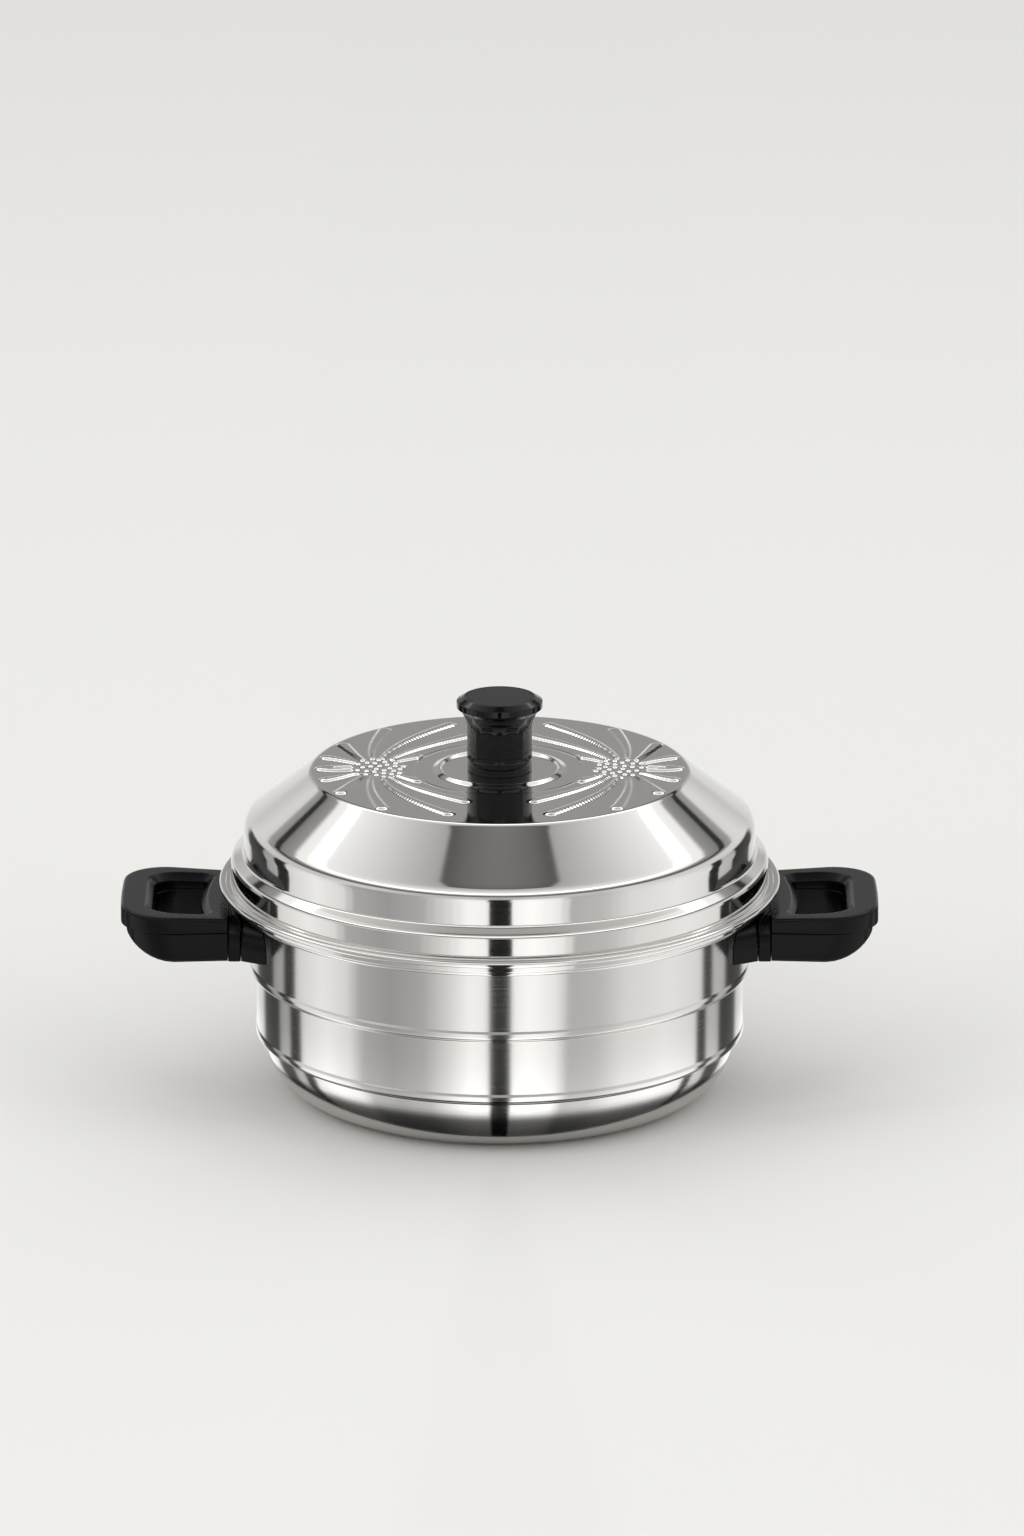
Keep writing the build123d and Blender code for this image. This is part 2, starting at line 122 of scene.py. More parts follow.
def add_node(
    tree: bpy.types.NodeTree,
    kind: str,
    settings: dict[str | int, Any] | None = None,
    links: dict[str | int, bpy.types.NodeSocket] | None = None,
) -> bpy.types.Node:
    """Adds a node with its settings and links.

    Args:
        tree: The node tree that gets the node.
        kind: Blender's name for the kind of node.
        settings: Values by the node's own attribute, or else by its input socket.
        links: Output sockets by the input socket that they feed.

    Returns:
        The new node.
    """
    node = tree.nodes.new(kind)
    for name, value in (settings or {}).items():
        if isinstance(name, str) and hasattr(node, name):
            setattr(node, name, value)
        else:
            node.inputs[name].default_value = value
    for name, socket in (links or {}).items():
        tree.links.new(socket, node.inputs[name])
    return node


@dataclass(frozen=True)
class Finish:
    """A plain surface: the shared start of each finish."""

    name: str
    colour: str
    roughness: float
    metallic: float = 0.0

    def start(
        self, settings: dict[str | int, Any]
    ) -> tuple[bpy.types.Material, bpy.types.NodeTree, bpy.types.Node]:
        """Makes the material with its main shader.

        Args:
            settings: Further values for the shader, by socket.

        Returns:
            The material, its node tree and its main shader.
        """
        material = bpy.data.materials.new(self.name)
        material.use_nodes = True
        tree = material.node_tree
        tree.nodes.clear()
        own = {"Base Color": linear(self.colour), "Roughness": self.roughness, "Metallic": self.metallic}
        shader = add_node(tree, "ShaderNodeBsdfPrincipled", {**own, **settings})
        add_node(tree, "ShaderNodeOutputMaterial", links={"Surface": shader.outputs["BSDF"]})
        return material, tree, shader


@dataclass(frozen=True)
class TurnedSteel(Finish):
    """Stainless steel sheet that was ground and polished while it turned on its axis.

    The belt leaves fine rings, which draw reflections out across them. Pitches, widths and
    depths are in millimetres, and the scatter is how far the rings vary the roughness.
    """

    metallic: float = 1.0
    ring_pitch: float = 1.0
    ring_depth: float = 0.002
    rise_share: float = 1.0
    anisotropy: float = 0.0
    streak_turn: float = 0.25
    sway_width: float = 24.0
    sway_depth: float = 0.02
    scatter: float = 0.05

    def make(self) -> bpy.types.Material:
        """Makes the material.

        Returns:
            The material.
        """
        streaks = {"Anisotropic": self.anisotropy, "Anisotropic Rotation": self.streak_turn}
        material, tree, shader = self.start(streaks if self.anisotropy else {})
        place = add_node(tree, "ShaderNodeTexCoord").outputs["Object"]
        flat = add_node(tree, "ShaderNodeVectorMath", {"operation": "MULTIPLY", 1: (1, 1, 0)}, {0: place})
        out = add_node(tree, "ShaderNodeVectorMath", {"operation": "LENGTH"}, {0: flat.outputs["Vector"]})
        up = add_node(tree, "ShaderNodeSeparateXYZ", links={"Vector": place}).outputs["Z"]
        rise = add_node(
            tree,
            "ShaderNodeMath",
            {"operation": "MULTIPLY_ADD", 1: self.rise_share},
            {0: up, 2: out.outputs["Value"]},
        )
        across = add_node(tree, "ShaderNodeCombineXYZ", links={"Z": rise.outputs["Value"]})
        rings = add_node(
            tree,
            "ShaderNodeTexNoise",
            {"Scale": 1 / (self.ring_pitch * MM), "Detail": 3.0},
            {"Vector": across.outputs["Vector"]},
        ).outputs["Fac"]
        sway = add_node(
            tree,
            "ShaderNodeTexNoise",
            {"Scale": 1 / (self.sway_width * MM), "Detail": 1.0},
            {"Vector": place},
        ).outputs["Fac"]
        waves = add_node(
            tree, "ShaderNodeBump", {"Strength": 1.0, "Distance": self.sway_depth * MM}, {"Height": sway}
        )
        bump = add_node(
            tree,
            "ShaderNodeBump",
            {"Strength": 1.0, "Distance": self.ring_depth * MM},
            {"Height": rings, "Normal": waves.outputs["Normal"]},
        )
        tree.links.new(bump.outputs["Normal"], shader.inputs["Normal"])
        low, high = NOISE_BAND
        spread = {"To Min": self.roughness - self.scatter, "To Max": self.roughness + self.scatter}
        rough = add_node(
            tree, "ShaderNodeMapRange", {"From Min": low, "From Max": high, **spread}, {"Value": rings}
        )
        tree.links.new(rough.outputs["Result"], shader.inputs["Roughness"])
        if self.anisotropy:
            around = add_node(tree, "ShaderNodeTangent", {"direction_type": "RADIAL", "axis": "Z"})
            tree.links.new(around.outputs["Tangent"], shader.inputs["Tangent"])
        return material


@dataclass(frozen=True)
class MouldedPhenolic(Finish):
    """Black phenolic resin, pressed hot in a steel mould.

    A spark-eroded mould leaves an even fine grain, and a polished one a hard gloss.
    """

    refraction: float = 1.6
    specular: float = 0.5
    grain: float = 0.6
    grain_depth: float = 0.01
    scatter: float = 0.04

    def make(self) -> bpy.types.Material:
        """Makes the material.

        Returns:
            The material.
        """
        material, tree, shader = self.start({"IOR": self.refraction, "Specular IOR Level": self.specular})
        grain = add_node(
            tree,
            "ShaderNodeTexNoise",
            {"Scale": 1 / (self.grain * MM), "Detail": 2.0},
            {"Vector": add_node(tree, "ShaderNodeTexCoord").outputs["Object"]},
        ).outputs["Fac"]
        bump = add_node(
            tree, "ShaderNodeBump", {"Strength": 1.0, "Distance": self.grain_depth * MM}, {"Height": grain}
        )
        tree.links.new(bump.outputs["Normal"], shader.inputs["Normal"])
        spread = {"To Min": self.roughness - self.scatter, "To Max": self.roughness + self.scatter}
        rough = add_node(tree, "ShaderNodeMapRange", spread, {"Value": grain})
        tree.links.new(rough.outputs["Result"], shader.inputs["Roughness"])
        return material


# The pot's outside and the handle brackets: stainless steel brushed with a fine belt. It
# mirrors the room in soft upright streaks. Real grinding lines are about 0.1 mm apart, drawn
# here at 0.9 mm to show.
BRUSHED = TurnedSteel(
    "stainless_steel_brushed",
    "#cfcdca",
    0.16,
    ring_pitch=0.9,
    ring_depth=0.0012,
    anisotropy=0.7,
    scatter=0.04,
)
# Lid, tray rims and the pot's inside and hem: stainless steel buffed to a mirror. It shows
# clear, slightly swaying reflections of the room. Real buffing lines are finer than 0.1 mm,
# drawn here at 1.4 mm and very shallow.
POLISHED = TurnedSteel(
    "stainless_steel_mirror_polished",
    "#d4d2cf",
    0.07,
    ring_pitch=1.4,
    ring_depth=0.0001,
    rise_share=0.3,
    sway_depth=0.018,
    scatter=0.015,
)
# The idli plates' bowls and rims: stainless steel pressed in a polished die. It mirrors the
# room a little softly, with hardly a ripple and no grinding lines.
PRESSED = TurnedSteel(
    "stainless_steel_die_pressed_bright",
    "#d2d0ce",
    0.13,
    ring_depth=0.0,
    sway_width=40.0,
    sway_depth=0.004,
    scatter=0.01,
)
# The idli plates' webs: stainless steel as it leaves bright rollers. It shows soft, slightly
# clouded reflections of what stands on it. The clouding is drawn coarser than it is, to show.
BRIGHT_ROLLED = TurnedSteel(
    "stainless_steel_bright_rolled",
    "#c6c4c2",
    0.17,
    ring_pitch=2.0,
    ring_depth=0.0002,
    sway_width=26.0,
    scatter=0.03,
)
# Lifting straps and the punched edges of the steam holes: stainless steel strip, sheared and
# folded. It looks a darker, duller grey than the sheet around it. Its lines are drawn coarser
# than real ones, to show.
SHEARED = TurnedSteel("stainless_steel_sheared_strip", "#a5a19d", 0.3, ring_pitch=0.7, ring_depth=0.0006)
# Tray floors: stainless steel left with the mill's dull finish. It turns the room to an even
# grey. Its lines are drawn coarser than real ones, to show.
SATIN = TurnedSteel(
    "stainless_steel_satin",
    "#d6d4d1",
    0.34,
    ring_pitch=0.8,
    ring_depth=0.0008,
    sway_width=30.0,
    scatter=0.04,
)
# Grips, collars, guards and the knob's disc: phenolic moulded with a fine grain, drawn
# coarser than the real 0.1 mm to show. It looks soft black with broad, weak highlights.
SATIN_PHENOLIC = MouldedPhenolic("phenolic_moulded_satin", "#050506", 0.27, specular=0.11)
# Knob: phenolic from a polished mould, whose slow waves replace the grain. It looks deep
# black with sharp highlights.
GLOSS_PHENOLIC = MouldedPhenolic(
    "phenolic_moulded_gloss", "#050506", 0.07, specular=0.2, grain=4.0, grain_depth=0.004, scatter=0.02
)
# Bolts, screw and washer: turned steel with bright zinc plating. It looks pale with a
# slight blur.
ZINC = TurnedSteel("zinc_plated_steel", "#b9bcc0", 0.3, ring_pitch=0.6, ring_depth=0.0005)


# Mesh helpers


@dataclass(frozen=True)
class Corner:
    """A corner of a section's path.

    The bend is the radius of its rounding, the pitch is the spacing of rings on the run
    that follows, and the faces are the finishes of the run's left and right side.
    """

    out: float
    up: float
    bend: float = 0.0
    pitch: float = 0.0
    faces: tuple[int, int] = (0, 0)


@dataclass(frozen=True)
class Spot:
    """A point on a section with the finish of the run that follows it."""

    out: float
    up: float
    face: int = 0

    @property
    def place(self) -> Vector:
        """Gives the point as a flat vector."""
        return Vector((self.out, self.up))


def round_off(before: Vector, here: Vector, after: Vector, bend: float, steps: int = 0) -> list[Vector]:
    """Rounds a corner of a flat path.

    Args:
        before: The path's corner before this one.
        here: The corner.
        after: The path's corner after this one.
        bend: The radius of the rounding.
        steps: The number of runs along the arc, or 0 for as many as its turn needs.

    Returns:
        The points along the arc.
    """
    back, onward = (before - here).normalized(), (after - here).normalized()
    half = back.angle(onward) / 2
    centre = here + (back + onward).normalized() * bend / math.sin(half)
    first = here + back * bend / math.tan(half) - centre
    turn = math.copysign(math.pi - 2 * half, back.x * onward.y - back.y * onward.x)
    steps = steps or max(2, math.ceil(abs(turn) / BEND_STEP))
    return [centre + Matrix.Rotation(-turn * step / steps, 2) @ first for step in range(steps + 1)]


def trace(corners: Sequence[Corner], side: int = 0) -> list[Spot]:
    """Follows a path, with its corners rounded and its runs split.

    Args:
        corners: The path's corners in order.
        side: 0 for the finishes on the left of the path, 1 for those on its right.

    Returns:
        The points along the path.
    """
    spots: list[Spot] = []
    places = [Vector((corner.out, corner.up)) for corner in corners]
    for index, corner in enumerate(corners):
        points = places[index : index + 1]
        if corner.bend > 0 and 0 < index < len(corners) - 1:
            points = round_off(*places[index - 1 : index + 2], corner.bend)
        if spots and corners[index - 1].pitch:
            start, run = spots[-1], points[0] - spots[-1].place
            count = max(1, round(run.length / corners[index - 1].pitch))
            for step in range(1, count):
                point = start.place + run * step / count
                spots.append(Spot(point.x, point.y, start.face))
        spots.extend(Spot(point.x, point.y, corner.faces[side]) for point in points)
    return spots


def shift(spots: Sequence[Spot], distance: float) -> list[Spot]:
    """Moves a path sideways.

    Args:
        spots: The points along the path.
        distance: How far the path moves to its left.

    Returns:
        The points along the moved path.
    """
    moved = []
    for index, spot in enumerate(spots):
        runs = [
            (far.place - near.place).normalized()
            for near, far in zip(spots[max(0, index - 1) :], spots[max(0, index - 1) + 1 : index + 2])
        ]
        along = sum(runs, Vector((0, 0))).normalized()
        stretch = 1 / max(LEAST_SLANT, along.dot(runs[0]))
        out, up = spot.out - along.y * distance * stretch, spot.up + along.x * distance * stretch
        moved.append(Spot(max(out, 0.0) if spot.out > 0 else out, up, spot.face))
    return moved


def sheet(corners: Sequence[Corner], gauge: float) -> list[Spot]:
    """Gives the section of a bent sheet around the path of its middle.

    Args:
        corners: The corners of the sheet's middle.
        gauge: The sheet's thickness.

    Returns:
        The points of the left side along the path, then of the right side back.
    """
    left = shift(trace(corners, 0), gauge / 2)
    right = shift(trace(corners, 1), -gauge / 2)
    back = [Spot(spot.out, spot.up, right[max(0, index - 1)].face) for index, spot in enumerate(right)]
    return left + back[::-1]


def loft(
    shape: bmesh.types.BMesh,
    loops: Sequence[Sequence[Vector]],
    faces: Sequence[int] = (),
    closed: bool = False,
    capped: bool = False,
) -> list[list[bmesh.types.BMVert]]:
    """Joins closed loops of equally many points with quads.

    Args:
        shape: The mesh that gets the faces.
        loops: The loops in order.
        faces: The finish between each loop and the next.
        closed: Whether the last loop joins the first.
        capped: Whether flat faces close the first and the last loop.

    Returns:
        The vertices of each loop.
    """
    rows = [[shape.verts.new(point) for point in loop] for loop in loops]
    pairs = list(zip(rows, rows[1:] + rows[:1]))[: None if closed else -1]
    for index, (near, far) in enumerate(pairs):
        for place in range(len(near)):
            after = (place + 1) % len(near)
            face = shape.faces.new((near[place], near[after], far[after], far[place]))
            face.material_index = faces[index] if faces else 0
    if capped:
        for row, index in ((rows[0], 0), (rows[-1], -1)):
            shape.faces.new(row).material_index = faces[index] if faces else 0
    return rows


def around(out: float, turn: float, up: float = 0.0) -> Vector:
    """Gives the point at a distance, an angle and a height from the axis."""
    return Vector((out * math.cos(turn), out * math.sin(turn), up))


def rings(spots: Iterable[Spot], segments: int, centre: Vector = Vector((0, 0, 0))) -> list[list[Vector]]:
    """Turns the points of a section around an upright axis.

    Args:
        spots: The section's points.
        segments: The number of points in each ring.
        centre: Where the axis stands.

    Returns:
        A ring of points for each point of the section.
    """
    turns = [math.tau * step / segments for step in range(segments)]
    return [[centre + around(spot.out, turn, spot.up) for turn in turns] for spot in spots]


def spin(corners: Sequence[Corner], gauge: float, segments: int, base: float = 0.0) -> bmesh.types.BMesh:
    """Turns a bent sheet around the axis to a round vessel.

    Args:
        corners: The corners of the sheet's middle, from the axis out.
        gauge: The sheet's thickness.
        segments: The number of points in each ring.
        base: The height that the path is measured from.

    Returns:
        The mesh.
    """
    spots = sheet(corners, gauge)
    for end in (0, -1):
        spots[end] = Spot(POLE, spots[end].up, spots[end].face)
    shape = bmesh.new()
    loops = rings(spots, segments, Vector((0, 0, base)))
    loft(shape, loops, [spot.face for spot in spots], capped=True)
    return shape


def smooth(share: np.ndarray | float) -> np.ndarray | float:
    """Eases a share between 0 and 1 in and out."""
    return share * share * (3 - 2 * share)


def to_object(
    name: str, shape: bmesh.types.BMesh, finishes: Sequence[bpy.types.Material], sharp: float = 35.0
) -> bpy.types.Object:
    """Turns a mesh in millimetres to an object in metres.

    Args:
        name: The object's name.
        shape: The mesh, which is freed.
        finishes: The materials by index.
        sharp: The angle in degrees from which an edge is drawn sharp.

    Returns:
        The object.
    """
    bmesh.ops.recalc_face_normals(shape, faces=shape.faces)
    mesh = bpy.data.meshes.new(name)
    shape.to_mesh(mesh)
    shape.free()
    mesh.transform(Matrix.Scale(MM, 4))
    for finish in finishes:
        mesh.materials.append(finish)
    mesh.shade_smooth()
    mesh.set_sharp_from_angle(angle=math.radians(sharp))
    piece = bpy.data.objects.new(name, mesh)
    bpy.context.scene.collection.objects.link(piece)
    even = piece.modifiers.new("even_shading", "WEIGHTED_NORMAL")
    even.keep_sharp = True
    return piece


def settle(piece: bpy.types.Object, body: str, slot: Slot, *nodes: str) -> None:
    """Puts a piece on its body, in the place of the nodes that it draws.

    Args:
        piece: The piece.
        body: The body that it rides on.
        slot: The record's slot for its finish; not used.
        nodes: The nodes that it replaces.
    """
    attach(piece, body)
    if nodes:
        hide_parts(*nodes)
    LOG.info("%s: %d faces on %s", piece.name, len(piece.data.polygons), body)


def dress(node: str, finish: bpy.types.Material) -> None:
    """Gives a plain CAD piece its finish.

    Args:
        node: The CAD piece's name.
        finish: Its material.
    """
    piece = bpy.data.objects[node]
    piece.data.materials.clear()
    piece.data.materials.append(finish)
    LOG.info("%s: kept from CAD", node)


def base_of(node: str) -> float:
    """Gives the height of a node's lowest point in millimetres."""
    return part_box(node)[0].z / MM


# Pieces


@dataclass
class Pot:
    """The pot's body: one drawn sheet with two steps, a mouth ledge and a rolled hem."""

    brushed: bpy.types.Material
    polished: bpy.types.Material
    gauge: float = 0.9
    segments: int = 288

    def corners(self) -> list[Corner]:
        """Gives the path of the sheet's middle, from the axis out and up to the hem."""
        body, bright = (1, 0), (1, 1)
        return [
            Corner(0.0, 0.45, pitch=12, faces=body),
            Corner(111.55, 0.45, 25.9, pitch=12, faces=body),
            Corner(111.55, 27.2, 1.2, faces=body),
            Corner(116.35, 29.6, 1.4, faces=body),
            Corner(116.35, 31.9, 0.8, faces=body),
            Corner(115.85, 33.1, 1.0, pitch=12, faces=body),
            Corner(115.85, 59.5, 1.2, faces=body),
            Corner(119.25, 61.6, 1.4, faces=body),
            Corner(119.25, 63.9, 0.8, faces=body),
            Corner(118.75, 65.1, 1.0, pitch=12, faces=body),
            Corner(118.75, 95.55, 1.3, faces=body),
            Corner(120.4, 95.55, 0.8, faces=bright),
            Corner(121.1, 95.95, 0.6, faces=bright),
            Corner(121.8, 95.55, 0.8, faces=bright),
            Corner(124.0, 95.55, 0.8, faces=bright),
            Corner(124.7, 95.95, 0.6, faces=bright),
            Corner(125.4, 95.55, 0.8, faces=bright),
            Corner(127.65, 95.55, 1.2, faces=bright),
            Corner(127.65, 101.55, 0.94, faces=bright),
            Corner(129.55, 101.55, 0.94, faces=bright),
            Corner(129.55, 97.75, 0.6, faces=bright),
            Corner(128.6, 97.75, faces=bright),
        ]

    def build(self) -> None:
        """Builds the pot's body."""
        shape = spin(self.corners(), self.gauge, self.segments)
        piece = to_object("pot_drawn_body", shape, [self.brushed, self.polished])
        settle(piece, "pot", Slot.BRUSHED_STEEL, "pot_body")


@dataclass
class Blossom:
    """One of the lid's two pressed blossoms: a seed head with long curled petals.

    It is laid out flat, along and across the band between the knob's ring and the lid's
    edge, and then bent to follow that band. The stretches widen it along the band, and a
    petal of fewer points than the shortest is left out.
    """

    middle: float
    band: float = 57.0
    seeds: int = 30
    seed_spacing: float = 2.3
    seed_width: float = 1.25
    seed_height: float = 0.8
    seed_stretch: float = 1.3
    petals: int = 19
    petal_start: float = 14.0
    petal_reach: float = 31.0
    petal_sweep: float = 34.0
    petal_curl: float = 0.22
    petal_stretch: float = 1.15
    petal_width: float = 2.3
    petal_root_share: float = 0.45
    petal_growth_share: float = 0.75
    petal_edge: float = 1.7
    petal_height: float = 0.85
    petal_points: int = 30
    shortest: int = 7
    inner_edge: float = 43.5
    outer_edge: float = 85.0

    def bent(self, along: np.ndarray, across: np.ndarray) -> np.ndarray:
        """Bends a flat layout to the band.

        Args:
            along: Places along the band from the blossom's middle.
            across: Places across the band, outward.

        Returns:
            The points on the lid's top, one in each row.
        """
        out, turn = self.band + across, self.middle + along / self.band
        return np.column_stack((out * np.cos(turn), out * np.sin(turn)))

    def petal(self, index: int) -> np.ndarray:
        """Gives points along one petal's middle.

        Args:
            index: The petal's place around the seed head.

        Returns:
            The points, one in each row.
        """
        turn = math.tau * (index + 0.5) / self.petals
        length = self.petal_reach + self.petal_sweep * abs(math.sin(turn)) ** 2
        reach = np.linspace(self.petal_start, length, self.petal_points)
        curl = turn - math.copysign(self.petal_curl, math.sin(turn)) * (reach / length) ** 2
        points = self.bent(reach * np.sin(curl) * self.petal_stretch, reach * np.cos(curl))
        out = np.hypot(*points.T)
        inside = (out > self.inner_edge) & (out < self.outer_edge)
        return points[: len(points) if inside.all() else int(inside.argmin())]

    def height(self, places: np.ndarray) -> np.ndarray:
        """Gives the height of the pressing.

        Args:
            places: Points on the lid's top, one in each row.

        Returns:
            The height at each point.
        """
        height = np.zeros(len(places))
        index, golden_angle = np.arange(self.seeds), math.pi * (3 - math.sqrt(5))
        turn, reach = index * golden_angle, self.seed_spacing * np.sqrt(index + 0.5)
        for seed in self.bent(reach * np.sin(turn) * self.seed_stretch, reach * np.cos(turn)):
            gap = np.hypot(*(places - seed).T)
            height = np.maximum(height, self.seed_height * np.exp(-((gap / self.seed_width) ** 2)))
        for index in range(self.petals):
            petal = self.petal(index)
            if len(petal) < self.shortest:
                continue
            gaps = np.hypot(*(places.T[:, :, None] - petal.T[:, None, :]))
            growth = self.petal_growth_share * gaps.argmin(1) / (len(petal) - 1)
            width = self.petal_width * (self.petal_root_share + growth)
            side = np.clip((width - gaps.min(1)) / self.petal_edge + 0.5, 0, 1)
            height = np.maximum(height, self.petal_height * smooth(side))
        return height


@dataclass
class Lid:
    """The lid: rim curl, flange, two skirts, a cone and a level top with its pressing."""

    polished: bpy.types.Material
    gauge: float = 0.8
    segments: int = 600
    bead_drop: float = 1.5
    ring_inner: float = 27.3
    ring_crest: float = 28.5
    ring_outer: float = 32.2
    ring_height: float = 1.4
    groove_middle: float = 41.4
    groove_width: float = 0.6
    groove_depth: float = 0.25
    band_inner: float = 42.0
    band_outer: float = 87.5
    top_reach: float = 88.0

    def corners(self, top: float) -> list[Corner]:
        """Gives the path of the sheet's middle, from the knob's bore out to the rim curl.

        Args:
            top: The height of the sheet's middle on the level top, over the pot's rim.

        Returns:
            The path's corners.
        """
        return [
            Corner(2.2, top, pitch=3.0),
            Corner(27.0, top, pitch=0.6),
            Corner(89.7, top, 5.0, pitch=3.0),
            Corner(121.6, top - 24.4, 8.0, pitch=4.0),
            Corner(121.6, 15.1, 2.2),
            Corner(127.7, 12.2, 2.4, pitch=4.0),
            Corner(127.7, 0.5, 1.1),
            Corner(130.4, 0.6, 0.8),
            Corner(131.1, 1.2, 0.7),
            Corner(133.4, 1.2, 1.1),
            Corner(133.4, -1.1, 1.1),
            Corner(131.2, -1.1, 0.9),
            Corner(131.2, -0.35),
        ]

    def press(self, places: np.ndarray) -> np.ndarray:
        """Gives the height of the top's pressing.

        Args:
            places: Points seen from above, one in each row.

        Returns:
            The height at each point.
        """
        out = np.hypot(*places.T)
        crest = (self.ring_inner, self.ring_crest, self.ring_outer)
        height = self.ring_height * np.interp(out, crest, (0.0, 1.0, 0.0))
        height -= self.groove_depth * np.exp(-(((out - self.groove_middle) / self.groove_width) ** 2))
        on_band = np.flatnonzero((out > self.band_inner) & (out < self.band_outer))
        for middle in (0.0, math.pi):
            height[on_band] += Blossom(middle).height(places[on_band])
        return height

    def build(self) -> None:
        """Builds the lid's shell."""
        low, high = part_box("lid_shell")
        seat = low.z / MM + self.bead_drop
        shape = bmesh.new()
        top = high.z / MM - seat - self.gauge / 2
        spots = sheet(self.corners(top), self.gauge)
        loops = rings(spots, self.segments, Vector((0, 0, seat)))
        loft(shape, loops, closed=True)
        shape.verts.ensure_lookup_table()
        level = seat + top - self.gauge
        above = [v for v in shape.verts if v.co.z > level and v.co.xy.length < self.top_reach]
        places = np.array([(v.co.x, v.co.y) for v in above])
        for vertex, rise in zip(above, self.press(places)):
            vertex.co.z += rise
        piece = to_object("lid_spun_shell", shape, [self.polished], 50.0)
        settle(piece, "lid", Slot.POLISHED_STEEL, "lid_shell")


@dataclass
class Knob:
    """The lid's knob: a collar, a panelled stem, a flared neck and a bevelled cap."""

    gloss: bpy.types.Material
    satin: bpy.types.Material
    zinc: bpy.types.Material
    segments: int = 192
    panels: int = 8
    panel_depth: float = 0.6
    panel_bottom: float = 6.9
    panel_top: float = 23.4
    arch: float = 2.6
    fade: float = 0.7
    stem_least: float = 14.0
    disc_radius: float = 15.8
    disc_height: float = 1.0
    disc_segments: int = 96

    def corners(self) -> list[Corner]:
        """Gives the knob's outline, from its foot out and up to the recess for the disc."""
        return [
            Corner(POLE, 0.0),
            Corner(15.4, 0.0, 0.5, pitch=1.5),
            Corner(15.15, 5.9, 0.3),
            Corner(15.75, 6.2, 0.25),
            Corner(15.4, 6.6, 0.25, pitch=0.5),
            Corner(15.45, 23.2, 9.0, pitch=0.6),
            Corner(18.1, 29.0, 0.5),
            Corner(20.5, 31.0, 0.5),
            Corner(20.5, 34.0, 0.5, pitch=1.0),
            Corner(17.0, 36.0, 0.4),
            Corner(16.0, 36.0, 0.15),
            Corner(16.0, 35.0),
            Corner(POLE, 35.0),
        ]

    def panel(self, turn: float, up: float) -> float:
        """Gives how far the stem is sunk at a place.

        Args:
            turn: The angle around the knob.
            up: The height over the lid.

        Returns:
            The depth.
        """
        step = math.tau / self.panels
        across = abs((turn % step) - step / 2) / (step / 2)
        top = self.panel_top - self.arch * across**2
        share = min(1.0, max(0.0, min(up - self.panel_bottom, top - up) / self.fade))
        return self.panel_depth * (1 - across**2) * smooth(share)

    def build(self) -> None:
        """Builds the knob and its disc, and dresses the screw and its washer."""
        shape = bmesh.new()
        spots = trace(self.corners())
        loops = rings(spots, self.segments)
        for spot, loop in zip(spots, loops):
            if spot.out > self.stem_least and self.panel_bottom < spot.up < self.panel_top:
                for place, point in enumerate(loop):
                    sunk = self.panel(math.tau * place / self.segments, spot.up)
                    point.xy *= (spot.out - sunk) / spot.out
        loft(shape, loops, capped=True)
        bmesh.ops.translate(shape, verts=shape.verts, vec=(0, 0, base_of("lid_knob")))
        piece = to_object("lid_knob_moulding", shape, [self.gloss], 40.0)
        settle(piece, "lid", Slot.GLOSS_PHENOLIC, "lid_knob")
        disc = bmesh.new()
        radius, top = self.disc_radius, self.disc_height
        outline = [Corner(0.3, 0.0), Corner(radius, 0.0, 0.1), Corner(radius, top, 0.25), Corner(0.3, top)]
        centre = Vector((0, 0, base_of("knob_disc")))
        loft(disc, rings(trace(outline), self.disc_segments, centre), capped=True)
        settle(to_object("knob_inset_disc", disc, [self.satin]), "lid", Slot.SATIN_PHENOLIC, "knob_disc")
        dress("knob_washer", self.zinc)
        dress("knob_screw", self.zinc)


@dataclass
class Strap:
    """A lifting strap: a folded strip with eased edges, on two spot-welded feet."""

    steel: bpy.types.Material
    gauge: float = 1.0
    foot: float = 4.0
    edge: float = 0.22
    top_bend: float = 1.9
    foot_bend: float = 0.9

    def build(self, node: str, body: str) -> None:
        """Builds the strap in the place of its node.

        Args:
            node: The CAD strap's name.
            body: The body that it rides on.
        """
        low, high = (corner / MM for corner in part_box(node))
        middle = self.gauge / 2
        reach, leg = high.y, high.y - self.foot - middle
        base, top = low.z + middle, high.z - middle
        path = [
            Corner(-reach, base),
            Corner(-leg, base, self.foot_bend),
            Corner(-leg, top, self.top_bend),
            Corner(leg, top, self.top_bend),
            Corner(leg, base, self.foot_bend),
            Corner(reach, base),
        ]
        full = sheet(path, self.gauge)
        thin = sheet(path, self.gauge - 2 * self.edge)
        loops = [
            [Vector((across, spot.out, spot.up)) for spot in section]
            for across, section in (
                (low.x, thin),
                (low.x + self.edge, full),
                (high.x - self.edge, full),
                (high.x, thin),
            )
        ]
        shape = bmesh.new()
        loft(shape, loops, capped=True)
        settle(to_object(f"{node}_folded", shape, [self.steel], 30.0), body, Slot.SATIN_STEEL, node)


